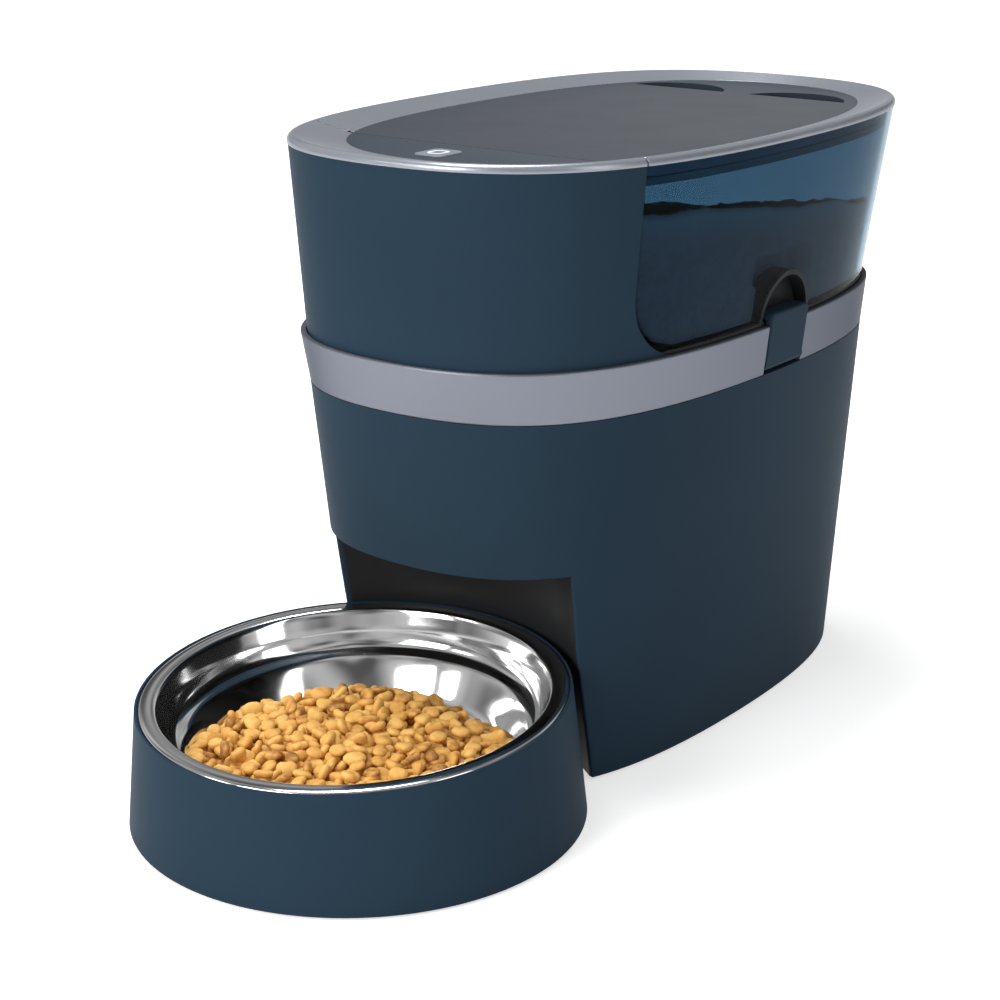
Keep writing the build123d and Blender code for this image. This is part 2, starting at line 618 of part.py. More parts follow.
def make_hopper_skirt():
    """The ring under the ledge that locates the hopper inside the base's spigot."""
    back = SKIRT_DIVIDE_Y + SEAM
    ring = skirt(SKIRT_INSET, SKIRT_FOOT_Z, LEDGE_TOP_Z) & behind(back)
    hollow = skirt(SKIRT_INSET + SKIRT_WALL, SKIRT_FOOT_Z - 1, LEDGE_TOP_Z + 1)
    return largest(ring - (hollow & behind(back + SKIRT_WALL)))


def make_hopper_funnel():
    neck_length = THROAT_Y[1] - THROAT_Y[0]
    neck = (2 * THROAT_HALF_WIDTH, neck_length, 5.0, sum(THROAT_Y) / 2)
    wide = tuple(size + 2 * FUNNEL_WALL for size in neck[:2]) + (neck[2] + FUNNEL_WALL, neck[3])
    mouth = FUNNEL_MOUTH
    wide_mouth = tuple(size + 2 * FUNNEL_WALL for size in mouth[:2]) + (mouth[2] + FUNNEL_WALL, mouth[3])
    back = SKIRT_DIVIDE_Y + SEAM + SKIRT_WALL + SEAM
    funnel = skirt(SKIRT_INSET + SKIRT_WALL, *FUNNEL_PLATE_Z) & behind(back)
    funnel += rounded_funnel(wide, FUNNEL_NECK_Z, wide_mouth, FUNNEL_PLATE_Z[0])
    funnel += rounded_funnel(wide, THROAT_FOOT_Z, wide, FUNNEL_NECK_Z)
    funnel -= rounded_funnel(neck, FUNNEL_NECK_Z, mouth, FUNNEL_PLATE_Z[0])
    funnel -= rounded_funnel(neck, THROAT_FOOT_Z - 1, neck, FUNNEL_NECK_Z)
    return largest(funnel - rounded_funnel(mouth, FUNNEL_PLATE_Z[0], mouth, FUNNEL_PLATE_Z[1] + 1))


# ---------------------------------------------------------------- top ring, lid and control panel
RING_FOOT_Z = HOPPER_TOP_Z      # the ring rests on the tank and the front shell
PLUG_INSET = SHELL_WALL + SLIDE_GAP
PANEL_FOOT_Z = PANEL_TOP_Z - PLATE


def make_top_ring():
    """The whole silver ring with its plug and the shelf that carries the panels."""
    ring = slab(TOP_RING_OVAL, RING_FOOT_Z, RING_TOP_Z)
    top_edges = ring.edges().filter_by(lambda edge: edge.center().Z > RING_TOP_Z - 0.01)
    ring = ring.fillet(RING_EDGE_RADIUS, top_edges)
    plug = upper_taper(PLUG_FOOT_Z, RING_FOOT_Z, PLUG_INSET)
    plug -= upper_taper(PLUG_FOOT_Z - 1, PANEL_FOOT_Z - PLUG_WALL, PLUG_INSET + PLUG_WALL)
    ring = ring + plug
    dish = Solid.make_loft([oval_wire(LID_OPENING_OVAL, PANEL_TOP_Z, OPENING_SQUARENESS),
                            oval_wire(shrink(TOP_RING_OVAL, RING_EDGE_RADIUS + 0.2), RING_TOP_Z)], ruled=True)
    ring -= dish
    ring -= slab(LID_OPENING_OVAL, PANEL_FOOT_Z, PANEL_TOP_Z + 0.01, OPENING_SQUARENESS)
    hole = shrink(LID_OPENING_OVAL, SHELF_WIDTH)
    return ring - slab(hole, PLUG_FOOT_Z - 1, PANEL_FOOT_Z + 1, OPENING_SQUARENESS)


def opening_plate(z_low, z_high):
    return slab(shrink(LID_OPENING_OVAL, 0.15), z_low, z_high, OPENING_SQUARENESS)


def finger_well(grow, z_low, z_high):
    """A half-moon shaft for the fingertips at the back of the lid, on the right."""
    front_y, back_y = 198.0, 221.0
    near_x, far_x = 9.0, 70.0
    mid_x = (near_x + far_x) / 2
    start, end = (near_x - grow, front_y - grow), (far_x + grow, front_y - grow)
    middle = (mid_x, back_y + grow)
    face = make_face(Curve() + [Line(end, start), ThreePointArc(start, middle, end)])
    return extrude(Pos(0, 0, z_low) * face, z_high - z_low)


def make_lid_ring(ring):
    lid = ring & lid_region(SPLIT_GAP / 2)
    tank_front = WINDOW_FRONT_Y + HOPPER_WALL + SLIDE_GAP
    return largest(lid - ahead(tank_front, (PLUG_FOOT_Z - 1, RING_FOOT_Z)) & ring)


def bevel_split(ring, y):
    """The ring piece with a small bevel along the upper edges of its split faces at y."""
    edges = ring.edges().filter_by(
        lambda edge: abs(edge.center().Y - y) < 0.01 and edge.center().Z > PANEL_TOP_Z + 0.5)
    return ring.chamfer(SPLIT_BEVEL, None, edges)


def make_front_trim(ring):
    return bevel_split(largest(ring - lid_region(-SPLIT_GAP / 2)), SPLIT_Y - SPLIT_GAP / 2)


def make_lid_panel():
    panel = opening_plate(PANEL_FOOT_Z, PANEL_TOP_Z) & lid_region(SPLIT_GAP / 2)
    for side in both_sides(finger_well(PLUG_WALL - 0.6, WELL_FOOT_Z, PANEL_FOOT_Z)):
        panel += side
    for side in both_sides(finger_well(0, WELL_FOOT_Z + FUNNEL_WALL, PANEL_TOP_Z + 1)):
        panel -= side
    return panel


def make_lid_seal():
    seal_z = (PLUG_FOOT_Z + 0.5, PLUG_FOOT_Z + 4.0)
    seal = upper_taper(*seal_z, HOPPER_WALL + SLIDE_GAP) - upper_taper(*seal_z, PLUG_INSET)
    return largest(seal & behind(WINDOW_FRONT_Y + HOPPER_WALL + SLIDE_GAP))




def make_control_panel():
    panel = opening_plate(PANEL_FOOT_Z, PANEL_TOP_Z) - lid_region(-SPLIT_GAP / 2)
    width, length = BUTTON_SIZE
    panel -= rounded_plate(width + 2 * SEAM, length + 2 * SEAM, BUTTON_CORNER + SEAM, (0, BUTTON_CENTRE_Y),
                           PANEL_FOOT_Z - 1, PANEL_TOP_Z + 1)
    for x in (-PANEL_POSTS_X, PANEL_POSTS_X):
        panel += rod(3.0, (x, BUTTON_CENTRE_Y, CONTROL_BOARD_Z + BOARD_THICKNESS), (0, 0, 1),
                     PANEL_FOOT_Z - CONTROL_BOARD_Z - BOARD_THICKNESS)
        panel -= rod(1.0, (x, BUTTON_CENTRE_Y, CONTROL_BOARD_Z), (0, 0, 1), 8)
    return panel


def make_button_cap():
    width, length = BUTTON_SIZE
    centre = (0, BUTTON_CENTRE_Y)
    cap = rounded_plate(width, length, BUTTON_CORNER, centre, BUTTON_FOOT_Z, BUTTON_TOP_Z)
    rim = cap.edges().filter_by(lambda edge: edge.center().Z > BUTTON_TOP_Z - 0.01)
    cap = cap.fillet(0.5, rim)
    return cap + rounded_plate(width + 2 * BUTTON_FLANGE, length + 2 * BUTTON_FLANGE, BUTTON_CORNER, centre,
                               BUTTON_FOOT_Z, BUTTON_FOOT_Z + 2)


def make_button_mark():
    centre = (0, BUTTON_CENTRE_Y)
    low, high = BUTTON_TOP_Z, BUTTON_TOP_Z + 0.15
    outline = rounded_plate(9.0, 11.0, 3.4, centre, low, high)
    return outline - rounded_plate(5.6, 7.6, 1.8, centre, low - 1, high + 1)


def make_control_board():
    board = block((-42, 42), (BUTTON_CENTRE_Y - 14, BUTTON_CENTRE_Y + 14),
                  (CONTROL_BOARD_Z, CONTROL_BOARD_Z + BOARD_THICKNESS))
    for x in (-PANEL_POSTS_X, PANEL_POSTS_X):
        board -= rod(1.2, (x, BUTTON_CENTRE_Y, CONTROL_BOARD_Z - 1), (0, 0, 1), 5)
    return board


def make_button_switch():
    top = CONTROL_BOARD_Z + BOARD_THICKNESS
    stem_top = BUTTON_FOOT_Z - BUTTON_TRAVEL - 0.1
    return block((-6, 6), (BUTTON_CENTRE_Y - 6, BUTTON_CENTRE_Y + 6), (top, top + 4)) + rod(
        3.0, (0, BUTTON_CENTRE_Y, top + 4), (0, 0, 1), stem_top - top - 4)


# ---------------------------------------------------------------- conveyor
BELT_LENGTH_Y = IDLER_ROLLER_Y - DRIVE_ROLLER_Y
PADDLE_TIP_RADIUS = ROLLER_RADIUS + BELT_GAP + BELT_THICKNESS + PADDLE_HEIGHT
TRAY_Y = (DRIVE_ROLLER_Y - 15.0, IDLER_ROLLER_Y + PADDLE_TIP_RADIUS + 2.0 + TRAY_WALL)
MOTOR_Y = DRIVE_ROLLER_Y + GEAR_MODULE * (DRIVE_TEETH + PINION_TEETH) / 2
BRACKET_X = (GEAR_X + GEAR_FACE + 1.0, GEAR_X + GEAR_FACE + 3.0)
BRACKET_POSTS = [(MOTOR_Y + 19, 134.0), (MOTOR_Y + 19, 170.0), (MOTOR_Y - 4, 178.5), (MOTOR_Y - 4, 128.0)]


def stadium(radius, x):
    """A solid round both roller axes."""
    mid = block(x, (DRIVE_ROLLER_Y, IDLER_ROLLER_Y), (ROLLER_Z - radius, ROLLER_Z + radius))
    for y in (DRIVE_ROLLER_Y, IDLER_ROLLER_Y):
        mid += rod(radius, (x[0], y, ROLLER_Z), (1, 0, 0), x[1] - x[0])
    return mid


def make_tray():
    x_in, x_out = TRAY_HALF_WIDTH, TRAY_HALF_WIDTH + TRAY_WALL
    tray = block((-x_out, x_out), (-38, TRAY_Y[1]), (TRAY_FOOT_Z, TRAY_FOOT_Z + 2.6))
    tray += block((-x_out, x_out), (TRAY_Y[1] - TRAY_WALL, TRAY_Y[1]), (TRAY_FOOT_Z, TRAY_TOP_Z - 2))
    for side in both_sides(block((x_in, x_out), TRAY_Y, (TRAY_FOOT_Z, TRAY_TOP_Z - 2))):
        tray += side
    for y in TRAY_FEET_Y:
        foot_x = (x_out - 0.5, TRAY_FOOT_X + POST_RADIUS)
        for foot in both_sides(block(foot_x, (y - 7, y + 7), (TRAY_FOOT_Z, TRAY_FOOT_Z + 3))):
            tray += foot
    for x in (-TRAY_FOOT_X, TRAY_FOOT_X):
        for y in TRAY_FEET_Y:
            tray -= rod(SCREW_RADIUS, (x, y, TRAY_FOOT_Z - 1), (0, 0, 1), 6)
    for y in (DRIVE_ROLLER_Y, IDLER_ROLLER_Y):
        tray -= rod(BUSH_RADIUS, (-80, y, ROLLER_Z), (1, 0, 0), 160)
    for y, z in BRACKET_POSTS:
        tray += rod(3.0, (x_out - 0.5, y, z), (1, 0, 0), BRACKET_X[0] - x_out + 0.5)
    return tray


def make_bushes():
    bushes = []
    flange_radius, flange = BUSH_FLANGE
    for y in (DRIVE_ROLLER_Y, IDLER_ROLLER_Y):
        bush = rod(BUSH_RADIUS, (TRAY_HALF_WIDTH, y, ROLLER_Z), (1, 0, 0), TRAY_WALL)
        bush += rod(flange_radius, (TRAY_HALF_WIDTH + TRAY_WALL, y, ROLLER_Z), (1, 0, 0), flange)
        bush -= rod(SHAFT_RADIUS + SHAFT_GAP, (TRAY_HALF_WIDTH - 1, y, ROLLER_Z), (1, 0, 0), 20)
        bushes.extend(both_sides(bush))
    return bushes


def make_roller(y, shaft_right):
    half = BELT_HALF_WIDTH + 2
    roller = rod(ROLLER_RADIUS, (-half, y, ROLLER_Z), (1, 0, 0), 2 * half)
    for turn in range(12):
        angle = 2 * pi * turn / 12
        groove_y, groove_z = y + ROLLER_RADIUS * cos(angle), ROLLER_Z + ROLLER_RADIUS * sin(angle)
        roller -= rod(1.2, (-half - 1, groove_y, groove_z), (1, 0, 0), 2 * half + 2)
    shaft_left = -TRAY_HALF_WIDTH - TRAY_WALL - 4
    return roller + rod(SHAFT_RADIUS, (shaft_left, y, ROLLER_Z), (1, 0, 0), shaft_right - shaft_left)


def make_belt():
    inner = ROLLER_RADIUS + BELT_GAP
    outer = inner + BELT_THICKNESS
    x = (-BELT_HALF_WIDTH, BELT_HALF_WIDTH)
    belt = stadium(outer, x)
    loop = 2 * BELT_LENGTH_Y + 2 * pi * outer
    paddle = block((x[0] + 1, x[1] - 1), (-0.9, 0.9), (-BELT_THICKNESS / 2, PADDLE_HEIGHT))
    for index in range(PADDLE_COUNT):
        along = loop * (index + 0.5) / PADDLE_COUNT
        if along < BELT_LENGTH_Y:
            place = Pos(0, DRIVE_ROLLER_Y + along, ROLLER_Z + outer)
        elif along < BELT_LENGTH_Y + pi * outer:
            turn = (along - BELT_LENGTH_Y) / outer
            place = Pos(0, IDLER_ROLLER_Y, ROLLER_Z) * Rot(-degrees(turn), 0, 0) * Pos(0, 0, outer)
        elif along < 2 * BELT_LENGTH_Y + pi * outer:
            back = along - BELT_LENGTH_Y - pi * outer
            place = Pos(0, IDLER_ROLLER_Y - back, ROLLER_Z - outer) * Rot(180, 0, 0)
        else:
            turn = (along - 2 * BELT_LENGTH_Y - pi * outer) / outer
            place = Pos(0, DRIVE_ROLLER_Y, ROLLER_Z) * Rot(180 - degrees(turn), 0, 0) * Pos(0, 0, outer)
        belt += place * paddle
    return belt - stadium(inner, (x[0] - 1, x[1] + 1))


def involute(angle):
    return tan(angle) - angle


def make_gear(teeth, x_low, face, bore, y, first_tooth_deg):
    """A spur gear about an axis along X, with involute flanks and a little backlash."""
    pressure = radians(20)
    backlash = 0.25
    pitch_radius = GEAR_MODULE * teeth / 2
    base_radius = pitch_radius * cos(pressure)
    tip_radius = pitch_radius + 0.8 * GEAR_MODULE
    root_radius = pitch_radius - 1.15 * GEAR_MODULE
    half_tooth = (pi * GEAR_MODULE / 2 - backlash) / 2 / pitch_radius
    start = max(base_radius, root_radius)
    steps = 4
    flank = [(root_radius, half_tooth + involute(pressure))]
    for step in range(steps + 1):
        radius = start + (tip_radius - start) * step / steps
        slant = (base_radius / radius) if radius > base_radius else 1.0
        turn = sqrt(1 / slant ** 2 - 1)
        flank.append((radius, half_tooth + involute(pressure) - (turn - atan(turn))))
    points = []
    for tooth in range(teeth):
        centre = radians(first_tooth_deg) + 2 * pi * tooth / teeth
        tooth_line = [(radius, centre - half) for radius, half in flank]
        tooth_line += [(radius, centre + half) for radius, half in reversed(flank)]
        points += [(radius * cos(angle), radius * sin(angle)) for radius, angle in tooth_line]
    outline = make_face(Polyline(*points, close=True))
    wheel = extrude(Plane(origin=(x_low, y, ROLLER_Z), x_dir=(0, 1, 0), z_dir=(1, 0, 0)) * outline, face)
    return wheel - rod(bore, (x_low - 1, y, ROLLER_Z), (1, 0, 0), face + 2)


def make_drive_gear():
    gear = make_gear(DRIVE_TEETH, GEAR_X, GEAR_FACE, SHAFT_RADIUS, DRIVE_ROLLER_Y, 0)
    web_radius = GEAR_MODULE * DRIVE_TEETH / 2 - 5
    for x in (GEAR_X - 1, GEAR_X + GEAR_FACE - 2):
        gear -= rod(web_radius, (x, DRIVE_ROLLER_Y, ROLLER_Z), (1, 0, 0), 3) - rod(
            9.0, (x, DRIVE_ROLLER_Y, ROLLER_Z), (1, 0, 0), 3)
    return gear


def make_motor_gear():
    shaft_start = GEAR_X - 1
    gear = make_gear(PINION_TEETH, GEAR_X, GEAR_FACE, MOTOR_SHAFT_RADIUS - 1, MOTOR_Y, 180 / PINION_TEETH)
    shaft_length = BRACKET_X[1] + 8 - shaft_start
    return gear + rod(MOTOR_SHAFT_RADIUS, (shaft_start, MOTOR_Y, ROLLER_Z), (1, 0, 0), shaft_length)


def make_gear_motor():
    start = BRACKET_X[1]
    motor = rod(MOTOR_RADIUS, (start, MOTOR_Y, ROLLER_Z), (1, 0, 0), 9)
    motor += rod(MOTOR_RADIUS - 5, (start + 9, MOTOR_Y, ROLLER_Z), (1, 0, 0), MOTOR_LENGTH - 9)
    motor += rod(3.5, (start + MOTOR_LENGTH, MOTOR_Y, ROLLER_Z), (1, 0, 0), 1.5)
    return motor - rod(MOTOR_SHAFT_RADIUS + SHAFT_GAP, (start - 1, MOTOR_Y, ROLLER_Z), (1, 0, 0), 11)


def make_motor_bracket():
    low_y, high_y = MOTOR_Y - 12, MOTOR_Y + 25
    plate = block(BRACKET_X, (low_y, high_y), (122.5, 184.0))
    plate -= rod(MOTOR_SHAFT_RADIUS + 1.5, (BRACKET_X[0] - 1, MOTOR_Y, ROLLER_Z), (1, 0, 0), 5)
    for y, z in BRACKET_POSTS:
        plate -= rod(1.5, (BRACKET_X[0] - 1, y, z), (1, 0, 0), 5)
    return plate


def make_motor_screws():
    screws = []
    for y, z in BRACKET_POSTS:
        head = rod(2.8, (BRACKET_X[1], y, z), (1, 0, 0), 1.6)
        screws.append(head + rod(1.5, (BRACKET_X[0], y, z), (1, 0, 0), 2.5))
    return screws


def make_chute():
    """The chute, hung by its flange on top of the recess liner."""
    (foot_w, foot_l, foot_y), (head_w, head_l, head_y) = CHUTE_FOOT, CHUTE_HEAD
    reach, thickness = CHUTE_FLANGE
    seat_z = RECESS_CEILING_Z + PLATE
    wall = 2 * CHUTE_WALL
    chute = rounded_funnel((foot_w, foot_l, 4, foot_y), CHUTE_Z[0], (head_w, head_l, 4, head_y), CHUTE_Z[1])
    chute += rounded_plate(foot_w + 2 * reach, foot_l + 2 * reach, 4, (0, foot_y), seat_z, seat_z + thickness)
    chute -= rounded_funnel((foot_w - wall, foot_l - wall, 2, foot_y), CHUTE_Z[0],
                            (head_w - wall, head_l - wall, 2, head_y), CHUTE_Z[1])
    back_y = foot_y + foot_l / 2 - 5
    return largest(chute - block((-60, 60), (back_y, -50), (CHUTE_BACK_Z, CHUTE_Z[1] + 1)))


def make_main_board():
    board = block((-40, 40), (8, 88), (BOARD_Z, BOARD_Z + BOARD_THICKNESS))
    for x, y in BOARD_STANDOFFS:
        board -= rod(1.2, (x, y, BOARD_Z - 1), (0, 0, 1), 5)
    return board


def make_board_parts():
    top = BOARD_Z + BOARD_THICKNESS
    chips = [((-12, 6), (30, 48), 2.2), ((12, 28), (28, 36), 1.8), ((-30, -20), (50, 62), 3.0),
             ((10, 30), (60, 72), 9.0), ((-34, -22), (20, 28), 5.0)]
    parts = [block(x, y, (top, top + height)) for x, y, height in chips]
    parts += [rod(4.0, (x, 70.0, top), (0, 0, 1), 11.0) for x in (-12.0, -2.0)]
    return parts


# ---------------------------------------------------------------- bowl and holder
RIM_FRAME = Pos(0, RIM_CENTRE_Y, RIM_CENTRE_Z) * Rot(RIM_TILT_DEG, 0, 0)
LEDGE_DEPTH = FLANGE_DROP + BOWL_SHEET


def tilted_cone(foot_radius, foot_z, rim_radius):
    foot = Wire.make_circle(foot_radius, Plane((0, HOLDER_CENTRE_Y, foot_z)))
    rim = Wire.make_circle(rim_radius, Plane(RIM_FRAME))
    return Solid.make_loft([foot, rim], ruled=True)


def rim_ring(outer, inner, z_low, z_high):
    """A flat ring in the tilted frame of the bowl's rim."""
    height = z_high - z_low
    ring = Solid.make_cylinder(outer, height) - Pos(0, 0, -1) * Solid.make_cylinder(inner, height + 2)
    return RIM_FRAME * Pos(0, 0, z_low) * ring


def make_bowl_holder():
    holder = tilted_cone(HOLDER_FOOT_RADIUS, SHELL_FOOT_Z, HOLDER_RIM_RADIUS)
    holder -= tilted_cone(HOLDER_FOOT_RADIUS - HOLDER_WALL, SHELL_FOOT_Z, BOWL_FLANGE_RADIUS + 0.35)
    holder += rim_ring(BOWL_FLANGE_RADIUS + 0.8, BOWL_MOUTH_RADIUS + 2.4,
                       -LEDGE_DEPTH - LEDGE_THICKNESS, -LEDGE_DEPTH)
    for index in range(4):
        holder += holder_pad(index, HOLDER_FOOT_RADIUS - PAD_RING_INSET, 7.0, 3.0, 6.0)
    return largest(holder)


def holder_pad(index, ring_radius, radius, z_low, z_high):
    angle = pi / 4 + index * pi / 2
    centre = (ring_radius * cos(angle), HOLDER_CENTRE_Y + ring_radius * sin(angle), z_low)
    return rod(radius, centre, (0, 0, 1), z_high - z_low)


def make_bowl():
    mouth, flange = BOWL_MOUTH_RADIUS, BOWL_FLANGE_RADIUS
    top = -FLANGE_DROP
    shoulder_z = top - BOWL_SHOULDER_DEPTH
    profile = FilletPolyline((flange, top), (mouth, top), (BOWL_SHOULDER_RADIUS + 9, shoulder_z),
                             (BOWL_SHOULDER_RADIUS, shoulder_z - 2.5), (BOWL_FLOOR_RADIUS + 8, -BOWL_DEPTH),
                             (1.0, -BOWL_DEPTH), radius=(1.5, 4.0, 3.0, 10.0))
    inner = Wire(profile.edges())
    outline = inner.offset_2d(BOWL_SHEET, side=Side.LEFT, closed=True)
    section = Plane.XZ * make_face(outline)
    middle = Pos(0, 0, -BOWL_DEPTH - BOWL_SHEET) * Solid.make_cylinder(1.5, BOWL_SHEET)
    return RIM_FRAME * (revolve(section, Axis.Z) + middle)


# ---------------------------------------------------------------- the assembly
def build_all():
    keep("base_shell", make_base_shell())
    keep("bowl_recess_liner", make_recess_liner())
    keep("base_cover", make_base_cover())
    keep("rubber_feet", *[rod(FOOT_RADIUS, (side * x, y, 0), (0, 0, 1), COVER_Z[0])
                          for x, y in FOOT_PLACES for side in (1, -1)])
    keep("cover_screws", *[screw(x, y, COVER_Z[0], 14.0) for x, y in COVER_SCREWS])
    keep("battery_door", make_battery_door())
    keep("battery_bay", make_battery_bay())
    keep("battery_cells", *make_battery_cells())
    keep("battery_contacts", *make_battery_contacts())
    keep("power_inlet", make_power_inlet())
    keep("main_circuit_board", make_main_board())
    keep("board_components", *make_board_parts())
    keep("board_screws", *[screw(x, y, BOARD_Z + BOARD_THICKNESS, 6.0, -1, 2.2, 1.3, 1.0)
                           for x, y in BOARD_STANDOFFS])
    band_front, band_rear = sorted(make_band().solids(), key=lambda solid: solid.center().Y)
    keep("band_front", band_front)
    keep("band_rear", band_rear)
    latch, pin = make_latch(), make_latch_pin()
    keep("latch_right", latch)
    keep("latch_left", latch.mirror(Plane.YZ))
    keep("latch_pins", *both_sides(pin))
    keep("front_shell", make_front_shell())
    keep("hopper_tank", make_hopper_tank())
    keep("hopper_ledge", *make_hopper_ledge())
    keep("hopper_skirt", make_hopper_skirt())
    keep("latch_cups", *both_sides(make_latch_cup()))
    keep("hopper_funnel", make_hopper_funnel())
    ring = make_top_ring()
    keep("front_trim_ring", make_front_trim(ring))
    keep("lid_ring", make_lid_ring(ring))
    keep("lid_panel", make_lid_panel())
    keep("lid_seal", make_lid_seal())
    keep("control_panel", make_control_panel())
    keep("button_cap", make_button_cap())
    keep("button_mark", make_button_mark())
    keep("button_switch", make_button_switch())
    keep("control_board", make_control_board())
    keep("panel_screws", *[screw(x, BUTTON_CENTRE_Y, CONTROL_BOARD_Z, 6.0, 1, 2.2, 1.3, 1.0)
                           for x in (-PANEL_POSTS_X, PANEL_POSTS_X)])
    keep("conveyor_tray", make_tray())
    keep("tray_screws", *[screw(x, y, TRAY_FOOT_Z + 3, 12.0, -1)
                          for x in (-TRAY_FOOT_X, TRAY_FOOT_X) for y in TRAY_FEET_Y])
    keep("roller_bushes", *make_bushes())
    keep("conveyor_belt", make_belt())
    keep("drive_roller", make_roller(DRIVE_ROLLER_Y, GEAR_X + GEAR_FACE))
    keep("idler_roller", make_roller(IDLER_ROLLER_Y, TRAY_HALF_WIDTH + TRAY_WALL + 4))
    keep("drive_gear", make_drive_gear())
    keep("motor_gear", make_motor_gear())
    keep("gear_motor", make_gear_motor())
    keep("motor_bracket", make_motor_bracket())
    keep("motor_screws", *make_motor_screws())
    keep("food_chute", make_chute())
    keep("bowl_holder", make_bowl_holder())
    keep("holder_pads", *[holder_pad(index, HOLDER_FOOT_RADIUS - PAD_RING_INSET, 5.0, 0.0, 3.0)
                          for index in range(4)])
    keep("bowl", make_bowl())


build_all()
os.makedirs("parts", exist_ok=True)
for node, shape in PIECES.items():
    export_step(shape, f"parts/{node}.step")
    print(f"{node:22s} {len(shape.solids()):3d} solids {shape.volume / 1000:9.2f} cm3")
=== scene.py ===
import bpy
import json
import random
from math import cos, exp, pi, radians, sin, sqrt
from mathutils import Euler, Matrix, Vector, noise


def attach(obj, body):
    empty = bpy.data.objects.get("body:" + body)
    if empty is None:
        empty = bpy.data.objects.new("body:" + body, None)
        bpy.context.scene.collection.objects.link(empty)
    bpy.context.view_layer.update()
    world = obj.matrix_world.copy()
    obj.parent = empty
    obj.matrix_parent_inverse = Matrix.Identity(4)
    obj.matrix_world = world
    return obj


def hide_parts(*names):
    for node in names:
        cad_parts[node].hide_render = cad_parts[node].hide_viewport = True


# Automatic dry-food pet feeder: looks only. Metres, +Z up, bowl towards -Y.

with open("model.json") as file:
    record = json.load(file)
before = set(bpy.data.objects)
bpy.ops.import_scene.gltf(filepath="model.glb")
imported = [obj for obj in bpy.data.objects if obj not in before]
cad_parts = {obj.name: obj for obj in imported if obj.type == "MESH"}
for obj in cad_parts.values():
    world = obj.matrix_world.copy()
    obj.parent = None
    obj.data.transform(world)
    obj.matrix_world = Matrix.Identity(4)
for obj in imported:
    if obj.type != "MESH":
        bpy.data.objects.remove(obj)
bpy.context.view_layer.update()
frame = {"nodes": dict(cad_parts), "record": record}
nodes = frame["nodes"]
MM = 0.001

# ---------------------------------------------------------------- sizes of the object, in mm
RIM_CENTRE = (0.0, -149.5, 65.6)
RIM_TILT = radians(3.4)
RIM_FRAME = Matrix.Translation(Vector(RIM_CENTRE)) @ Matrix.Rotation(RIM_TILT, 4, "X")
BOWL_FLOOR = -44.0                          # in the rim's frame, like every height of the bowl
BOWL_FLOOR_RADIUS = 62.0
BOWL_CORNER_SLOPE = 2.5                     # mm outwards per mm up, from the floor to the wall
BOWL_SHEET = 1.0
BOWL_SIDES = 240
BOWL_ROUNDINGS = 3                          # passes of corner cutting along the section
BOWL_HUB = 0.05                             # radius at which the bowl's mesh closes round its axis
BOWL_WALL = ((-0.25, 97.1), (-17.0, 91.4), (-22.4, 84.6), (-40.6, 72.6), (-60.0, 60.0))      # height, radius
BOWL_SECTION = (                            # radius, height: from under the rolled edge to the axis
    (106.1, -2.4), (106.6, -1.0), (105.2, 0.5), (101.6, 0.8), (98.4, 0.3), (97.1, -1.2),
    (95.7, -5.0), (94.1, -9.2), (93.3, -12.4), (91.8, -16.8), (89.6, -19.4), (86.4, -21.0),
    (84.0, -23.4), (78.8, -31.0), (73.0, -40.2), (66.0, BOWL_FLOOR), (40.0, BOWL_FLOOR),
    (BOWL_HUB, BOWL_FLOOR),
)
HOPPER_FOOT = (109.8, 181.4, 60.2)          # half width, half length, centre y at HOPPER_FOOT_Z
HOPPER_TOP = (118.0, 194.5, 67.2)           # the same at HOPPER_TOP_Z
HOPPER_FOOT_Z, HOPPER_TOP_Z = 227.0, 322.0
HOPPER_SQUARENESS = 2.72
TANK_WALL = 2.6
WINDOW_FRONT_Y = -54.5
WINDOW_CORNER = 32.0
LATCH_Y = 70.0
CUP_HALF_WIDTH = 27.0
CUP_TOP_Z = 262.0
CUP_X = 98.6

# ---------------------------------------------------------------- food in the bowl, in mm
SEED = 11
KIBBLE_HALF_WIDTH = 4.5
KIBBLE_HALF_THICKNESS = 1.95
KIBBLE_WIDTHS = (0.88, 1.1)                 # least and most, as shares of the half width
KIBBLE_THICKNESSES = (0.9, 1.15)
KIBBLE_RINGS = 6
KIBBLE_SIDES = 16
KIBBLE_POLE = 0.93                          # height of its middle, as a share of the half thickness
KIBBLE_FLATNESS = 0.28                      # how far its rings are drawn in towards its middle plane
KIBBLE_LAYERS = ((6.4, -4.2, 0.8), (7.2, -1.6, 0.8), (8.9, 0.9, 1.0))       # spacing, height, tilt
KIBBLE_TRIES = 16000
KIBBLE_REACH = 92.0                         # no piece is tried farther from the bowl's axis
KIBBLE_WALL_GAP = 0.6                       # from its edge to the bowl's wall
KIBBLE_WALL_DEPTH = 3.0                     # how far below the heap's top that gap is taken
KIBBLE_TILT_SPREAD = 0.6
KIBBLE_LIFT = 0.5                           # most that a piece is moved up or down
LEANING_SHARE, LEANING_ANGLE = 0.16, 1.1    # pieces that stand on edge, and how steeply in radians
BROWN_SHARE = 0.16                          # pieces that are baked browner
PIECE_TONE = (0.62, 0.16)                   # mean and spread, on the scale of KIBBLE_TONES
BROWN_TONE = (0.22, 0.1)
KIBBLE_TONES = ((0.30, 0.12, 0.03), (0.68, 0.35, 0.08), (0.78, 0.47, 0.13))
BOWL_GAP = 0.5                              # from the food to the bowl's sheet
HEAP_AWAY = (-0.6, 0.8)                     # in the bowl's rim frame: the way that the heap falls off
HEAP_RIDGE = 33.0                           # how far along it the heap's crest lies
HEAP_BEND = 0.0075                          # how fast the crest's line curves back, per mm
HEAP_LEVEL = -20.0                          # how far along it the heap has risen from its crest to its top
HEAP_TOP, HEAP_CREST = -10.5, -14.5         # levels at the middle and at the crest
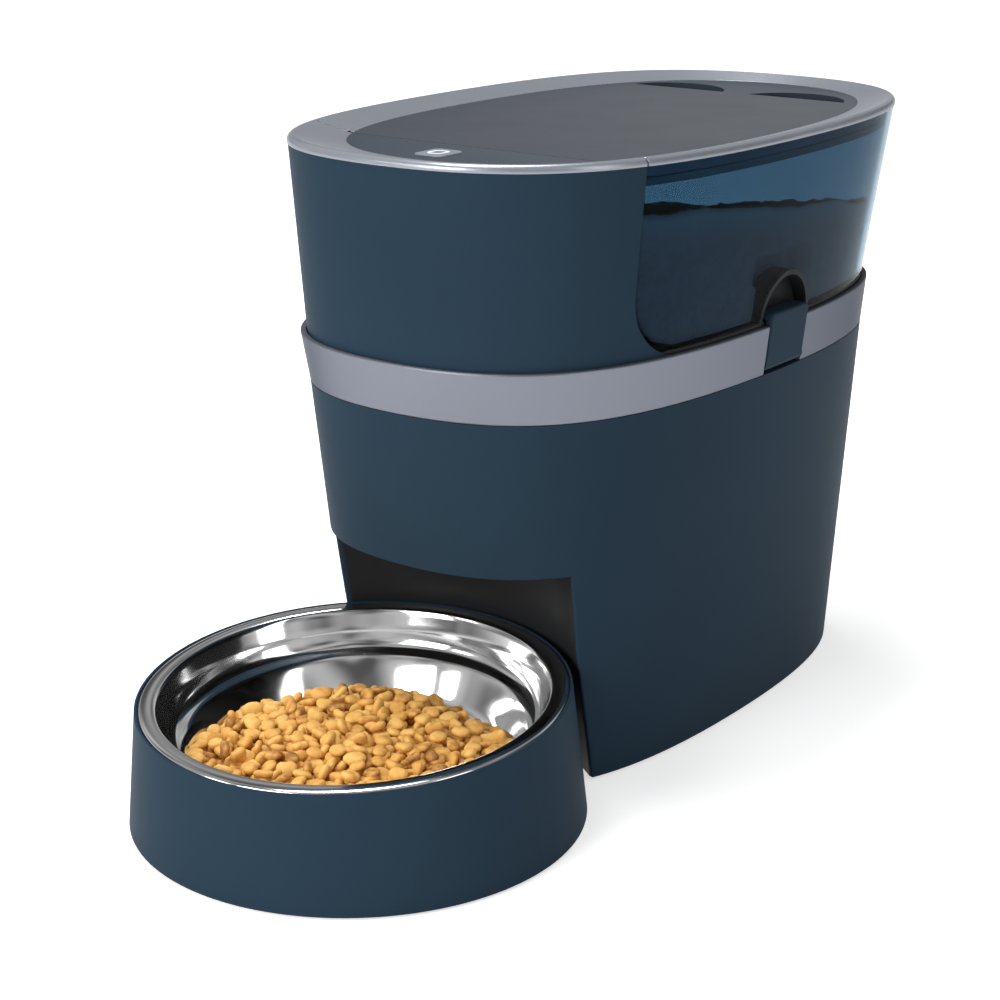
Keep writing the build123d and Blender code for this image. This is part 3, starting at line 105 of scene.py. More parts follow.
HEAP_SLOPE = 0.62                           # behind the crest
HEAP_SAG = 0.0028                           # how fast it sinks to either side, per mm
HEAP_SAG_START, HEAP_SAG_RUN = -70.0, 100.0     # where along it the sag sets in, and over what length
HEAP_SAG_LEAST = 0.25                       # share of the sag that holds everywhere
HEAP_LUMP, HEAP_LUMP_SCALE = 3.0, 0.045     # height of its swells, and how many there are per mm
HEAP_NOISE_PLACE = 3.1                      # which slice of the noise gives them
MOUND_DEPTH = 6.0                           # from the heap's top down to the hidden mound
MOUND_RINGS, MOUND_SIDES = 20, 72
MOUND_HUB = 0.02                            # radius of its first ring, as a share of a ring's width
MOUND_READ = 84.0                           # radius at which the heap's level at the wall is read
MOUND_GAP, MOUND_FLOOR_GAP = 0.8, 1.5       # from the bowl's wall and floor
# painted shade: the mound is toned darker than the pieces, for the shade deep between them
MOUND_PAINTED_SHADE_TONE = 0.2

# ---------------------------------------------------------------- food in the hopper, in mm
# The pale tone is used mostly by the painted glow along the top edge of the food's side.
STORED_TONES = ((0.50, 0.27, 0.10), (0.80, 0.50, 0.46), (0.80, 0.68, 0.66))
FOOD_FOOT_Z = 230.6
FOOD_FRONT_Y, FOOD_FRONT_Z = -20.0, 297.0   # the food's top has this height there, on the right
FOOD_SLOPE = 0.115                          # fall towards the rear
FOOD_SIDE_SLOPE = 0.17                      # fall towards the left
FOOD_LOW_Z = 248.0                          # below this level the food's slope eases off
FOOD_EASED = 0.3                            # share of the slope that is left there
FOOD_SWELL, FOOD_SWELL_SCALE = 3.5, 0.022   # height of its swells, and how many there are per mm
FOOD_NOISE_PLACE = 7.0                      # which slice of the noise gives them
FOOD_GAP = 0.9                              # from the food to the tank's wall
FOOD_COLUMNS = 360
FOOD_WALL_ROWS = 22
FOOD_TOP_ROWS = 44
FOOD_LUMP = 8.0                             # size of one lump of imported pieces
FOOD_LUMP_RISE = 1.35                       # how fast a lump falls off from its middle
FOOD_DENT = 0.008                           # depth between lumps on its side, as a share of the reach
FOOD_TOP_LIFT, FOOD_TOP_DENT = 2.5, 4.5     # height of the lumps on its top, and depth between them
FOOD_TOP_TONE, FOOD_WALL_TONE = 0.1, 0.40   # on the scale of STORED_TONES
FOOD_PAINTED_GLOW_TONE = 0.60                        # painted light: a pale glow added along the top edge of the food's side, standing in for the lit band where the food meets the empty tank above
FOOD_PAINTED_GLOW_START = 0.72                       # share of the side's height at which that sets in
FOOD_PAINTED_GLOW_POWER = 1.5

# ---------------------------------------------------------------- looks, camera and lamps, in metres
EDGE_RADIUS = 0.0007                        # how round the moulded edges look
GRAIN_DEPTH = 0.0002                        # relief of moulded plastic and of baked food
CRUMB_DEPTH = 0.0006
MIDDLE_TONE = 0.42                          # where the middle of a food's three tones lies, from 0 to 1
CAMERA_PLACE = (0.6403, -0.8813, 0.4826)
CAMERA_TURN = (radians(71.808), 0.0, radians(36.938))
CAMERA_SENSOR, CAMERA_LENS = 36.0, 76.58    # mm
FLOOR_SIZE = 60.0
FLOOR_GLOW = (0.6, 1.0)                     # strength near the object and far out
FLOOR_GLOW_REACH = (0.35, 1.1)              # radii between which it rises
STUDIO_MIRRORED = (0.10, 0.62)              # dimmest and brightest parts of the studio in reflections
HORIZON = (0.02, 0.12)                      # rise of a mirrored ray: white, then studio
LIGHT_GIVEN = (0.46, 0.14)                  # by the world, from -Y and from +Y
LAMP_AIM = (0.0, 0.0, 0.16)
LAMPS = {                                   # place, width, height, watts
    "key_left": ((-0.25, -1.75, 0.85), 0.8, 0.8, 20.0),
    "fill_right": ((1.55, -0.1, 0.9), 0.5, 1.3, 5.0),
    "small_left": ((-0.94, -1.46, 0.87), 0.36, 0.32, 2.0),
    "top": ((-0.3, 0.0, 1.7), 1.2, 0.5, 29.0),
}


# ---------------------------------------------------------------- node helpers
def new_material(name):
    """An empty node material with its Principled shader and output joined."""
    material = bpy.data.materials.new(name)
    material.use_nodes = True
    tree = material.node_tree
    return material, tree, tree.nodes["Principled BSDF"]


def add(tree, kind, **values):
    """A node with its inputs or properties set by name."""
    node = tree.nodes.new(kind)
    for key, value in values.items():
        if hasattr(node, key):
            setattr(node, key, value)
        else:
            node.inputs[key.replace("_", " ")].default_value = value
    return node


def object_noise(tree, scale, detail=2.0, roughness=0.5):
    """Noise in object space, so that it stays on the piece as the piece moves."""
    coords = add(tree, "ShaderNodeTexCoord")
    texture = add(tree, "ShaderNodeTexNoise", Scale=scale, Detail=detail, Roughness=roughness)
    tree.links.new(coords.outputs["Object"], texture.inputs["Vector"])
    return texture.outputs["Fac"]


def ramp(tree, source, low, high, start=0.3, end=0.7):
    """A two-colour ramp fed by a value."""
    node = add(tree, "ShaderNodeValToRGB")
    first, last = node.color_ramp.elements
    first.position, last.position = start, end
    first.color, last.color = (*low, 1.0), (*high, 1.0)
    tree.links.new(source, node.inputs["Fac"])
    return node.outputs["Color"]


def spread(tree, source, low, high, start=0.0, end=1.0):
    """A value moved from the range start..end to low..high."""
    node = add(tree, "ShaderNodeMapRange")
    for name, value in (("From Min", start), ("From Max", end), ("To Min", low), ("To Max", high)):
        node.inputs[name].default_value = value
    tree.links.new(source, node.inputs["Value"])
    return node.outputs["Result"]


def math_node(tree, operation, first, second):
    """A two-input Math node; each input is a socket or a number."""
    node = add(tree, "ShaderNodeMath", operation=operation)
    for socket, value in zip(node.inputs, (first, second)):
        if isinstance(value, (int, float)):
            socket.default_value = value
        else:
            tree.links.new(value, socket)
    return node.outputs["Value"]


def bump(tree, shader, height, strength, distance, edge_radius=0.0):
    """Fine relief on a piece, with its sharp edges shaded as if rounded to edge_radius."""
    node = add(tree, "ShaderNodeBump", Strength=strength, Distance=distance)
    tree.links.new(height, node.inputs["Height"])
    if edge_radius:
        rounded = add(tree, "ShaderNodeBevel", samples=4, Radius=edge_radius)
        tree.links.new(rounded.outputs["Normal"], node.inputs["Normal"])
    tree.links.new(node.outputs["Normal"], shader.inputs["Normal"])


def shade(colour, factor):
    """The colour made darker or lighter, and nowhere over 1."""
    return tuple(min(1.0, channel * factor) for channel in colour)


def seen_directly(tree):
    """1 for a camera, glossy or transmission ray, which see the backdrop; 0 for light that it gives."""
    rays = add(tree, "ShaderNodeLightPath")
    seen = math_node(tree, "MAXIMUM", rays.outputs["Is Camera Ray"], rays.outputs["Is Glossy Ray"])
    return rays, math_node(tree, "MAXIMUM", seen, rays.outputs["Is Transmission Ray"])


# ---------------------------------------------------------------- materials
def finish(name, colour, roughness, metallic=0.0, mottle=0.05, mottle_scale=9.0, grain=2200.0,
           grain_strength=0.05, roughness_spread=0.03, specular=0.5, edge=1.0, edge_radius=EDGE_RADIUS):
    """A moulded, painted or metal finish: slight colour drift, fine grain and uneven gloss."""
    material, tree, shader = new_material(name)
    drift = object_noise(tree, mottle_scale, 3.0)
    tint = ramp(tree, drift, shade(colour, 1 - mottle), shade(colour, 1 + mottle))
    tree.links.new(tint, shader.inputs["Base Color"])
    gloss = object_noise(tree, mottle_scale * 4.0, 4.0)
    tree.links.new(spread(tree, gloss, roughness - roughness_spread, roughness + roughness_spread),
                   shader.inputs["Roughness"])
    shader.inputs["Metallic"].default_value = metallic
    shader.inputs["Specular IOR Level"].default_value = specular
    shader.inputs["Specular Tint"].default_value = (edge, edge, edge, 1.0)
    bump(tree, shader, object_noise(tree, grain, 2.0), grain_strength, GRAIN_DEPTH, edge_radius)
    return material


def tinted_clear():
    """The tank's clear tinted plastic, with faint flow streaks from moulding."""
    material, tree, shader = new_material("tank_look")
    drift = object_noise(tree, 6.0, 2.0)
    tree.links.new(ramp(tree, drift, (0.12, 0.21, 0.28), (0.14, 0.235, 0.31)), shader.inputs["Base Color"])
    gloss = object_noise(tree, 20.0, 2.0)
    tree.links.new(spread(tree, gloss, 0.02, 0.05), shader.inputs["Roughness"])
    shader.inputs["Transmission Weight"].default_value = 1.0
    shader.inputs["IOR"].default_value = 1.06
    shader.inputs["Specular IOR Level"].default_value = 0.15
    return material


def polished_steel():
    """Deep-drawn steel: a near mirror with a faint drift in tone and faint smears."""
    material, tree, shader = new_material("polished_steel_look")
    shader.inputs["Metallic"].default_value = 1.0
    drift = object_noise(tree, 30.0, 2.0)
    tree.links.new(ramp(tree, drift, (0.66, 0.66, 0.66), (0.74, 0.74, 0.74)), shader.inputs["Base Color"])
    smear = object_noise(tree, 55.0, 5.0)
    tree.links.new(spread(tree, smear, 0.05, 0.14), shader.inputs["Roughness"])
    return material


def kibble_look(name, tones, patchiness=0.35, relief=0.5):
    """Baked dry food: toned by the mesh's own tone attribute, with browner patches and a crumbly surface."""
    material, tree, shader = new_material(name)
    tone = add(tree, "ShaderNodeAttribute", attribute_name="tone").outputs["Fac"]
    patches = spread(tree, object_noise(tree, 260.0, 3.0), -patchiness, patchiness, 0.25, 0.75)
    level = math_node(tree, "ADD", tone, patches)
    colours = add(tree, "ShaderNodeValToRGB")
    stops = colours.color_ramp.elements
    dark, middle, pale = tones
    stops[0].position, stops[0].color = 0.0, (*dark, 1.0)
    stops[1].position, stops[1].color = 1.0, (*pale, 1.0)
    stops.new(MIDDLE_TONE).color = (*middle, 1.0)
    tree.links.new(level, colours.inputs["Fac"])
    tree.links.new(colours.outputs["Color"], shader.inputs["Base Color"])
    shader.inputs["Roughness"].default_value = 0.62
    shader.inputs["Specular IOR Level"].default_value = 0.35
    crumb = object_noise(tree, 900.0, 4.0, 0.65)
    bump(tree, shader, crumb, relief, CRUMB_DEPTH)
    return material


def build_materials():
    """One look for each material slot of the record."""
    silver = dict(metallic=0.6, specular=0.03, edge=0.12, mottle=0.02, grain=3200.0, grain_strength=0.03)
    return {
        "slate_plastic": finish("slate_look", (0.021, 0.0405, 0.062), 0.5, specular=0.02),
        "recess_plastic": finish("recess_look", (0.021, 0.022, 0.024), 0.4, mottle=0.12, specular=0.07),
        "inner_plastic": finish("inner_look", (0.030, 0.034, 0.040), 0.5, specular=0.3),
        "silver_paint": finish("silver_look", (0.190, 0.204, 0.242), 0.36, **silver),
        "smoke_clear": tinted_clear(),
        "lid_smoke": finish("lid_look", (0.031, 0.039, 0.050), 0.3, mottle=0.04, grain_strength=0.01,
                            specular=0.07, edge=0.55),
        "control_gloss": finish("control_look", (0.014, 0.025, 0.042), 0.24, mottle=0.03, grain_strength=0.01,
                                specular=0.1),
        "button_grey": finish("button_look", (0.16, 0.185, 0.215), 0.35, mottle=0.03),
        "mark_white": finish("mark_look", (0.82, 0.85, 0.88), 0.45, mottle=0.02),
        "polished_steel": polished_steel(),
        "foot_rubber": finish("rubber_look", (0.016, 0.016, 0.017), 0.8, grain=900.0, grain_strength=0.2),
        "zinc_steel": finish("zinc_look", (0.55, 0.55, 0.54), 0.32, metallic=1.0),
        "battery_can": finish("cell_look", (0.12, 0.12, 0.14), 0.3, metallic=0.4),
        "contact_metal": finish("contact_look", (0.68, 0.66, 0.60), 0.22, metallic=1.0),
        "circuit_board": finish("board_look", (0.012, 0.10, 0.045), 0.35, mottle=0.2, mottle_scale=160.0),
        "chip_black": finish("chip_look", (0.015, 0.015, 0.016), 0.5),
        "gear_nylon": finish("nylon_look", (0.66, 0.64, 0.58), 0.45),
        "belt_rubber": finish("belt_look", (0.05, 0.05, 0.055), 0.7, grain=700.0, grain_strength=0.2),
        "motor_steel": finish("motor_look", (0.45, 0.45, 0.46), 0.35, metallic=1.0),
        "bush_brass": finish("bush_look", (0.55, 0.40, 0.20), 0.4, metallic=1.0),
    }


def build_node_looks():
    """Looks for single nodes that differ from the rest of their slot: glossier ring, a seal painted pale to
    lighten the dark band under the ring, dull cups.
    """
    ring = finish("ring_look", (0.275, 0.295, 0.335), 0.26, metallic=0.5, mottle=0.02, grain=3200.0,
                  grain_strength=0.03, specular=0.6, edge=0.5)
    return {
        "lid_ring": ring,
        "front_trim_ring": ring,
        # painted light: the seal's pale grey lightens the dark band that shows under the ring through the
        # tank
        "lid_seal": finish("seal_painted_light_look", (0.30, 0.33, 0.36), 0.6, specular=0.2),
        "latch_cups": finish("cup_look", (0.021, 0.022, 0.024), 0.5, mottle=0.12, specular=0.05,
                             edge_radius=0.0),
    }


def dress_nodes(looks, node_looks):
    """Each node gets its own look where it has one, and otherwise the look of its slot."""
    for entry in frame["record"]["subparts"]:
        name = entry["node"]
        mesh = nodes[name].data
        mesh.materials.clear()
        mesh.materials.append(node_looks.get(name, looks[entry["material_slot"]]))


# ---------------------------------------------------------------- meshes
def add_piece(name, points, faces, material, tones=None):
    """A smooth mesh piece from points in mm, with an optional tone for each point."""
    mesh = bpy.data.meshes.new(name)
    mesh.from_pydata([tuple(value * MM for value in point) for point in points], [], faces)
    mesh.materials.append(material)
    mesh.polygons.foreach_set("use_smooth", [True] * len(mesh.polygons))
    layer = mesh.attributes.new("tone", "FLOAT", "POINT")
    layer.data.foreach_set("value", tones if tones else [0.5] * len(points))
    mesh.update()
    piece = bpy.data.objects.new(name, mesh)
    bpy.context.scene.collection.objects.link(piece)
    return piece


def grid_faces(rows, columns):
    """Faces of a closed band of point rows, each row a loop."""
    faces = []
    for row in range(rows - 1):
        for column in range(columns):
            after = (column + 1) % columns
            faces.append((row * columns + column, row * columns + after,
                          (row + 1) * columns + after, (row + 1) * columns + column))
    return faces


# ---------------------------------------------------------------- kibble
# Outlines of a piece: its radius at an angle, as a share of its half width.
def disc_outline(angle):
    return 1.0


def oval_outline(angle):
    return 1.0 + 0.16 * cos(2 * angle)


def bean_outline(angle):
    dent = (angle - pi / 2) / 0.55
    return 1.0 + 0.14 * cos(2 * angle) - 0.24 * exp(-dent * dent)


def clover_outline(angle):
    return 0.97 + 0.13 * cos(3 * angle)


def kibble_template(outline, width, thickness, draw):
    """A pillow-shaped piece: poles top and bottom, rings between, lumps from the draw."""
    points = [(0.0, 0.0, thickness * KIBBLE_POLE)]
    for ring in range(1, KIBBLE_RINGS + 1):
        polar = pi * ring / (KIBBLE_RINGS + 1)
        reach = sin(polar) ** 0.5
        height = cos(polar) * (1.0 - KIBBLE_FLATNESS + KIBBLE_FLATNESS * abs(cos(polar)))
        for side in range(KIBBLE_SIDES):
            angle = 2 * pi * side / KIBBLE_SIDES
            radius = width * outline(angle) * reach * draw.uniform(0.98, 1.02)
            points.append((radius * cos(angle), radius * sin(angle),
                           thickness * height * draw.uniform(0.96, 1.04)))
    points.append((0.0, 0.0, -thickness * KIBBLE_POLE))
    last = len(points) - 1
    faces = [(0, 1 + side, 1 + (side + 1) % KIBBLE_SIDES) for side in range(KIBBLE_SIDES)]
    faces += [tuple(1 + index for index in reversed(face)) for face in grid_faces(KIBBLE_RINGS, KIBBLE_SIDES)]
    low = 1 + (KIBBLE_RINGS - 1) * KIBBLE_SIDES
    faces += [(last, low + (side + 1) % KIBBLE_SIDES, low + side) for side in range(KIBBLE_SIDES)]
    return points, faces


def wall_radius(height):
    """Inner radius of the bowl at a height in its rim frame."""
    for (z_high, r_high), (z_low, r_low) in zip(BOWL_WALL, BOWL_WALL[1:]):
        if height >= z_low:
            share = min(1.0, (height - z_low) / (z_high - z_low))
            return r_low + share * (r_high - r_low)
    return BOWL_WALL[-1][1]


def held_in_bowl(point):
    """The point moved in, where need be, from the bowl's wall and floor."""
    height = max(point.z, BOWL_FLOOR + BOWL_GAP)
    corner = BOWL_FLOOR_RADIUS + BOWL_CORNER_SLOPE * (height - BOWL_FLOOR)
    reach = min(corner, wall_radius(height)) - BOWL_GAP
    share = min(1.0, reach / max(point.xy.length, 0.001))
    return Vector((point.x * share, point.y * share, height))


def heap_height(x, y):
    """Top of the heap in the rim frame: nearly level in front, falling away behind a curved crest."""
    along = HEAP_AWAY[0] * x + HEAP_AWAY[1] * y
    across = HEAP_AWAY[1] * x - HEAP_AWAY[0] * y
    crest = HEAP_RIDGE - HEAP_BEND * max(0.0, across) ** 2
    lumps = HEAP_LUMP * noise.noise(Vector((x * HEAP_LUMP_SCALE, y * HEAP_LUMP_SCALE, HEAP_NOISE_PLACE)))
    sag = HEAP_SAG * across ** 2 * min(1.0, max(HEAP_SAG_LEAST, (along - HEAP_SAG_START) / HEAP_SAG_RUN))
    if along > crest:
        return HEAP_CREST - HEAP_SLOPE * (along - crest) - sag + lumps
    share = min(1.0, (crest - along) / (crest - HEAP_LEVEL))
    return HEAP_CREST + (HEAP_TOP - HEAP_CREST) * share - sag + lumps


def scatter(draw, spacing):
    """Points over the bowl's mouth at least spacing apart, found on a grid of cells."""
    margin = KIBBLE_HALF_WIDTH + KIBBLE_WALL_GAP
    cells, chosen = {}, []
    for _ in range(KIBBLE_TRIES):
        radius, angle = KIBBLE_REACH * sqrt(draw.random()), 2 * pi * draw.random()
        x, y = radius * cos(angle), radius * sin(angle)
        if radius > wall_radius(heap_height(x, y) - KIBBLE_WALL_DEPTH) - margin:
            continue
        key = (int(x // spacing), int(y // spacing))
        around = [(key[0] + i, key[1] + j) for i in (-1, 0, 1) for j in (-1, 0, 1)]
        near = [place for cell in around for place in cells.get(cell, ())]
        if all((x - a) ** 2 + (y - b) ** 2 >= spacing ** 2 for a, b in near):
            cells.setdefault(key, []).append((x, y))
            chosen.append((x, y))
    return chosen


def kibble_templates(draw):
    """Three pieces, each of its own size, for every outline; the commoner outlines come twice."""
    outlines = (disc_outline, oval_outline, bean_outline, clover_outline, disc_outline, bean_outline)
    templates = []
    for outline in outlines:
        for _ in range(3):
            width = KIBBLE_HALF_WIDTH * draw.uniform(*KIBBLE_WIDTHS)
            thickness = KIBBLE_HALF_THICKNESS * draw.uniform(*KIBBLE_THICKNESSES)
            templates.append(kibble_template(outline, width, thickness, draw))
    return templates


def build_heap(look):
    """The bowl's food that is seen: layers of loose pieces, clear of the bowl's wall."""
    draw = random.Random(SEED)
    templates = kibble_templates(draw)
    points, faces, tones = [], [], []
    for spacing, height, tilt in KIBBLE_LAYERS:
        for x, y in scatter(draw, spacing):
            if heap_height(x, y) + height < BOWL_FLOOR + 2 * KIBBLE_HALF_THICKNESS:
                continue
            shape_points, shape_faces = draw.choice(templates)
            lean = tilt * abs(draw.gauss(0.0, KIBBLE_TILT_SPREAD))
            if draw.random() < LEANING_SHARE:
                lean += LEANING_ANGLE
            turn = Euler((lean, 0.0, 2 * pi * draw.random())).to_matrix().to_4x4()
            spin = Matrix.Rotation(2 * pi * draw.random(), 4, "Z")
            lift = draw.uniform(-KIBBLE_LIFT, KIBBLE_LIFT)
            z = heap_height(x, y) + height - KIBBLE_HALF_THICKNESS + lift
            place = Matrix.Translation((x, y, z)) @ spin @ turn
            start = len(points)
            points += [RIM_FRAME @ held_in_bowl(place @ Vector(point)) for point in shape_points]
            faces += [tuple(start + index for index in face) for face in shape_faces]
            tone = draw.gauss(*(PIECE_TONE if draw.random() > BROWN_SHARE else BROWN_TONE))
            tones += [tone] * len(shape_points)
    kibble = add_piece("kibble_heap", points, faces, look, tones)
    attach(kibble, "bowl")


def build_mound(look):
    """A surface under the heap that hides the steel between the pieces, toned dark as painted shade between
    them, left out where the floor is near.
    """
    points, low = [], []
    for ring in range(MOUND_RINGS):
        share = (ring + MOUND_HUB) / (MOUND_RINGS - 1)
        for side in range(MOUND_SIDES):
            angle = 2 * pi * side / MOUND_SIDES
            level = heap_height(MOUND_READ * cos(angle), MOUND_READ * sin(angle)) - MOUND_DEPTH
            far = wall_radius(level) - MOUND_GAP
            x, y = share * far * cos(angle), share * far * sin(angle)
            height = heap_height(x, y) - MOUND_DEPTH
            points.append(RIM_FRAME @ Vector((x, y, height)))
            low.append(height < BOWL_FLOOR + MOUND_FLOOR_GAP)
    grid = grid_faces(MOUND_RINGS, MOUND_SIDES)
    faces = [tuple(reversed(face)) for face in grid if not any(low[index] for index in face)]
    mound = add_piece("kibble_mound", points, faces, look, [MOUND_PAINTED_SHADE_TONE] * len(points))
    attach(mound, "bowl")


# ---------------------------------------------------------------- bowl
def round_corners(points, times):
    """Corner cutting: each pass replaces every inner corner by two points on its sides."""
    for _ in range(times):
        cut = [points[0]]
        for (x0, z0), (x1, z1) in zip(points, points[1:]):
            cut.append((0.75 * x0 + 0.25 * x1, 0.75 * z0 + 0.25 * z1))
            cut.append((0.25 * x0 + 0.75 * x1, 0.25 * z0 + 0.75 * z1))
        points = cut + [points[-1]]
    return points


def build_bowl(look):
    """The spun steel bowl: the CAD section with a crowned flange, a rolled edge and a soft shoulder."""
    inner = round_corners(BOWL_SECTION, BOWL_ROUNDINGS)
    outer = []
    for index, (radius, height) in enumerate(inner):
        (r0, z0), (r1, z1) = inner[max(0, index - 1)], inner[min(len(inner) - 1, index + 1)]
        length = sqrt((r1 - r0) ** 2 + (z1 - z0) ** 2)
        outer.append((max(BOWL_HUB, radius - BOWL_SHEET * (z1 - z0) / length),
                      height + BOWL_SHEET * (r1 - r0) / length))
    section = inner + outer[::-1]
    points = []
    for radius, height in section:
        for side in range(BOWL_SIDES):
            angle = 2 * pi * side / BOWL_SIDES
            points.append(RIM_FRAME @ Vector((radius * cos(angle), radius * sin(angle), height)))
    faces = grid_faces(len(section), BOWL_SIDES)
    start = (len(section) - 1) * BOWL_SIDES
    for side in range(BOWL_SIDES):
        after = (side + 1) % BOWL_SIDES
        faces.append((start + side, start + after, after, side))
    bowl = add_piece("bowl_spun", points, [tuple(reversed(face)) for face in faces], look)
    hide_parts("bowl")
    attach(bowl, "bowl")


# ---------------------------------------------------------------- food in the hopper
def hopper_oval(z, inset):
    """Points round the housing's squarish oval at height z, as rational curves through four tips."""
    share = (z - HOPPER_FOOT_Z) / (HOPPER_TOP_Z - HOPPER_FOOT_Z)
    half_x, half_y, centre_y = (a + share * (b - a) for a, b in zip(HOPPER_FOOT, HOPPER_TOP))
    half_x, half_y = half_x - inset, half_y - inset
    reach = 0.5 ** (1 / HOPPER_SQUARENESS)
    weight = (2 * reach - 1) / (2 - 2 * reach)
    tips = [(half_x, 0.0), (0.0, half_y), (-half_x, 0.0), (0.0, -half_y)]
    places = []
    for index in range(4):
        (x0, y0), (x1, y1) = tips[index], tips[(index + 1) % 4]
        for step in range(FOOD_COLUMNS // 4):
            t = step / (FOOD_COLUMNS // 4)
            a, b, c = (1 - t) ** 2, 2 * t * (1 - t) * weight, t * t
            total = a + b + c
            places.append(((a * x0 + b * (x0 + x1) + c * x1) / total,
                           centre_y + (a * y0 + b * (y0 + y1) + c * y1) / total))
    return places


def lumpy(x, y, z):
    """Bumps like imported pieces: 0 at the middle of a lump, up to 1 between lumps."""
    distance = noise.voronoi(Vector((x / FOOD_LUMP, y / FOOD_LUMP, z / FOOD_LUMP)))[0][0]
    return min(1.0, distance * FOOD_LUMP_RISE)


def food_level(x, y):
    """Top of the food in the hopper, lower towards the rear and the left."""
    place = Vector((x * FOOD_SWELL_SCALE, y * FOOD_SWELL_SCALE, FOOD_NOISE_PLACE))
    swell = FOOD_SWELL * noise.noise(place)
    level = FOOD_FRONT_Z - FOOD_SLOPE * (y - FOOD_FRONT_Y) - FOOD_SIDE_SLOPE * (HOPPER_FOOT[0] - x)
    return max(level, FOOD_LOW_Z + FOOD_EASED * (level - FOOD_LOW_Z)) + swell


def held_in_tank(x, y, z):
    """The point moved in, where need be, from the window's rounded corner and the latch cups."""
    corner = WINDOW_CORNER - TANK_WALL - FOOD_GAP
    centre_y, centre_z = WINDOW_FRONT_Y + WINDOW_CORNER, HOPPER_FOOT_Z + WINDOW_CORNER
    front = WINDOW_FRONT_Y + TANK_WALL + FOOD_GAP
    if z < centre_z:
        front = centre_y - sqrt(max(0.0, corner ** 2 - (centre_z - z) ** 2))
    y = max(y, front)
    if abs(y - LATCH_Y) < CUP_HALF_WIDTH and z < CUP_TOP_Z:
        x = max(-CUP_X, min(CUP_X, x))
    return x, y


def build_hopper_food(look):
    """The food seen through the tank: lumpy sides against the clear wall, with a painted pale glow along
    their top edge, and a lumpy top.
    """
    low = hopper_oval(HOPPER_FOOT_Z, TANK_WALL + FOOD_GAP)
    high = hopper_oval(HOPPER_TOP_Z, TANK_WALL + FOOD_GAP)
    points, tones = [], []
    for row in range(FOOD_WALL_ROWS):
        share = row / (FOOD_WALL_ROWS - 1)
        # Painted light: the side's tone rises to pale towards its top edge, a glow standing in for the light
        # above the food.
        rim = max(0.0, (share - FOOD_PAINTED_GLOW_START) / (1.0 - FOOD_PAINTED_GLOW_START))
        tones += [FOOD_WALL_TONE + FOOD_PAINTED_GLOW_TONE * rim ** FOOD_PAINTED_GLOW_POWER] * FOOD_COLUMNS
        for (x0, y0), (x1, y1) in zip(low, high):
            z = FOOD_FOOT_Z + share * (food_level(x0, max(y0, WINDOW_FRONT_Y)) - FOOD_FOOT_Z)
            rise = (z - HOPPER_FOOT_Z) / (HOPPER_TOP_Z - HOPPER_FOOT_Z)
            x, y = held_in_tank(x0 + rise * (x1 - x0), y0 + rise * (y1 - y0), z)
            dent = 1.0 - FOOD_DENT * lumpy(x, y, z)
            points.append((x * dent, LATCH_Y + (y - LATCH_Y) * dent, z))
    edge = points[-FOOD_COLUMNS:]
    for row in range(1, FOOD_TOP_ROWS):
        share = 1.0 - row / FOOD_TOP_ROWS
        tones += [FOOD_TOP_TONE] * FOOD_COLUMNS
        for x_edge, y_edge, _ in edge:
            x, y = x_edge * share, LATCH_Y + (y_edge - LATCH_Y) * share
            points.append((x, y, food_level(x, y) + FOOD_TOP_LIFT - FOOD_TOP_DENT * lumpy(x, y, 0.0)))
    grid = grid_faces(FOOD_WALL_ROWS + FOOD_TOP_ROWS - 1, FOOD_COLUMNS)
    food = add_piece("hopper_food", points, [tuple(reversed(face)) for face in grid], look, tones)
    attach(food, "hopper")


# ---------------------------------------------------------------- camera, floor and light
def build_camera():
    data = bpy.data.cameras.new("camera")
    data.sensor_width = CAMERA_SENSOR
    data.lens = CAMERA_LENS
    camera = bpy.data.objects.new("camera", data)
    camera.location = CAMERA_PLACE
    camera.rotation_euler = CAMERA_TURN
    bpy.context.scene.collection.objects.link(camera)
    bpy.context.scene.camera = camera


def build_floor():
    """A white sweep: lit and shadowed near the object, plain white where it runs out to the horizon."""
    bpy.ops.mesh.primitive_plane_add(size=FLOOR_SIZE)
    floor = bpy.context.object
    floor.name = "floor"
    material, tree, shader = new_material("floor_look")
    shader.inputs["Base Color"].default_value = (0.80, 0.80, 0.80, 1.0)
    shader.inputs["Roughness"].default_value = 0.9
    shader.inputs["Specular IOR Level"].default_value = 0.0
    shader.inputs["Emission Color"].default_value = (1.0, 1.0, 1.0, 1.0)
    coords = add(tree, "ShaderNodeTexCoord")
    length = add(tree, "ShaderNodeVectorMath", operation="LENGTH")
    tree.links.new(coords.outputs["Object"], length.inputs[0])
    glow = spread(tree, length.outputs["Value"], *FLOOR_GLOW, *FLOOR_GLOW_REACH)
    _, seen = seen_directly(tree)
    tree.links.new(math_node(tree, "MULTIPLY", glow, seen), shader.inputs["Emission Strength"])
    floor.data.materials.append(material)


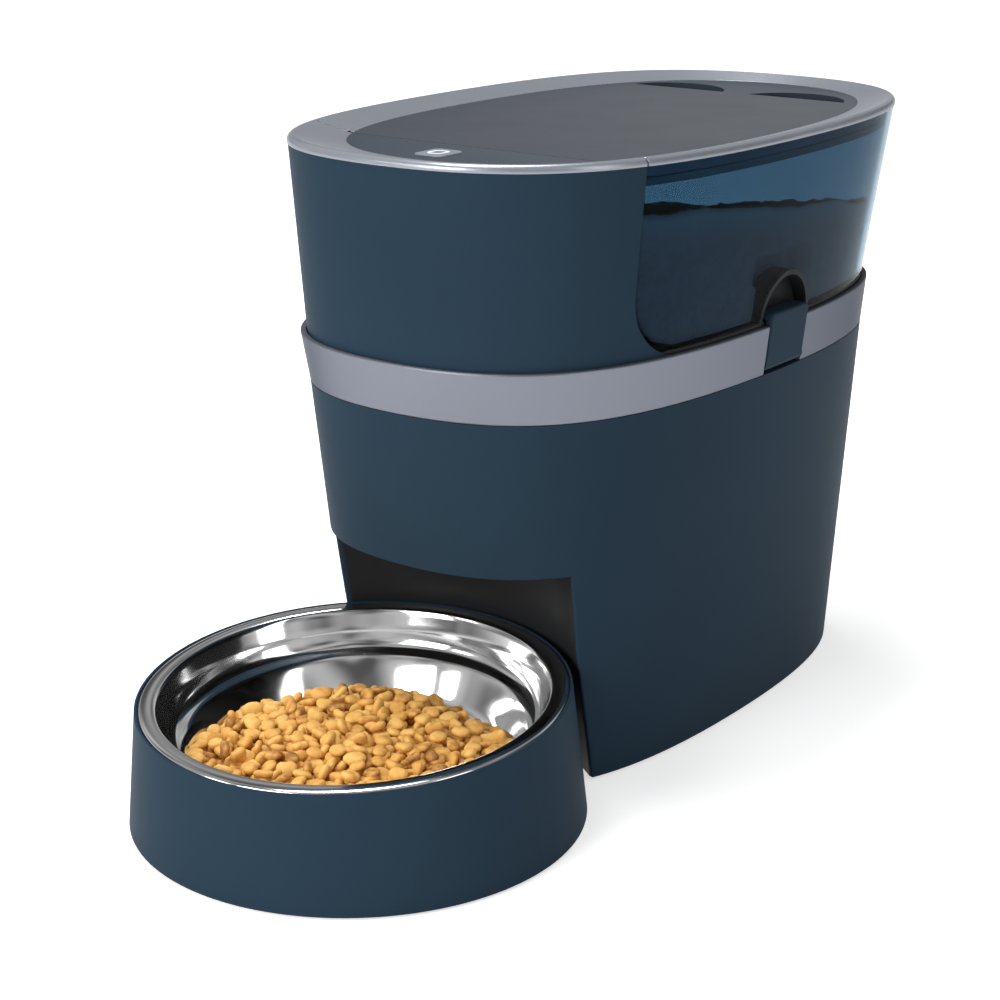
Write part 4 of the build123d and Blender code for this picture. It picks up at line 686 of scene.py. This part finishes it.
def area_light(name, place, width, height, watts):
    """A rectangular lamp that faces LAMP_AIM."""
    data = bpy.data.lights.new(name, "AREA")
    data.shape = "RECTANGLE"
    data.size, data.size_y, data.energy = width, height, watts
    light = bpy.data.objects.new(name, data)
    light.location = place
    light.rotation_euler = (Vector(LAMP_AIM) - Vector(place)).to_track_quat("-Z", "Y").to_euler()
    bpy.context.scene.collection.objects.link(light)


def build_world():
    """White to the camera, a dim studio above the horizon in reflections, soft light mostly from -Y."""
    world = bpy.data.worlds.new("studio")
    bpy.context.scene.world = world
    world.use_nodes = True
    tree = world.node_tree
    background = tree.nodes["Background"]
    coords = add(tree, "ShaderNodeTexCoord")
    parts = add(tree, "ShaderNodeSeparateXYZ")
    tree.links.new(coords.outputs["Generated"], parts.inputs["Vector"])
    studio = add(tree, "ShaderNodeTexNoise", Scale=2.6, Detail=1.0)
    tree.links.new(coords.outputs["Generated"], studio.inputs["Vector"])
    upper = spread(tree, studio.outputs["Fac"], *STUDIO_MIRRORED, 0.35, 0.65)
    horizon = spread(tree, parts.outputs["Z"], 1.0, 0.0, *HORIZON)
    mirrored = math_node(tree, "MAXIMUM", upper, horizon)
    rays, seen = seen_directly(tree)
    shown = math_node(tree, "MAXIMUM", mirrored, rays.outputs["Is Camera Ray"])
    given = spread(tree, parts.outputs["Y"], *LIGHT_GIVEN, -1.0, 1.0)
    extra = math_node(tree, "SUBTRACT", shown, given)
    level = math_node(tree, "ADD", math_node(tree, "MULTIPLY", extra, seen), given)
    tree.links.new(level, background.inputs["Strength"])
    background.inputs["Color"].default_value = (1.0, 1.0, 1.0, 1.0)


def build_lights():
    for name, (place, width, height, watts) in LAMPS.items():
        area_light(name, place, width, height, watts)


# ---------------------------------------------------------------- assembly
scene = bpy.context.scene
scene.view_settings.view_transform = "Standard"
build_camera()
build_floor()
build_world()
build_lights()
looks = build_materials()
dress_nodes(looks, build_node_looks())
build_bowl(looks["polished_steel"])
kibble = kibble_look("kibble_look", KIBBLE_TONES)
build_heap(kibble)
build_mound(kibble)
build_hopper_food(kibble_look("stored_look", STORED_TONES, 0.09, 0.12))
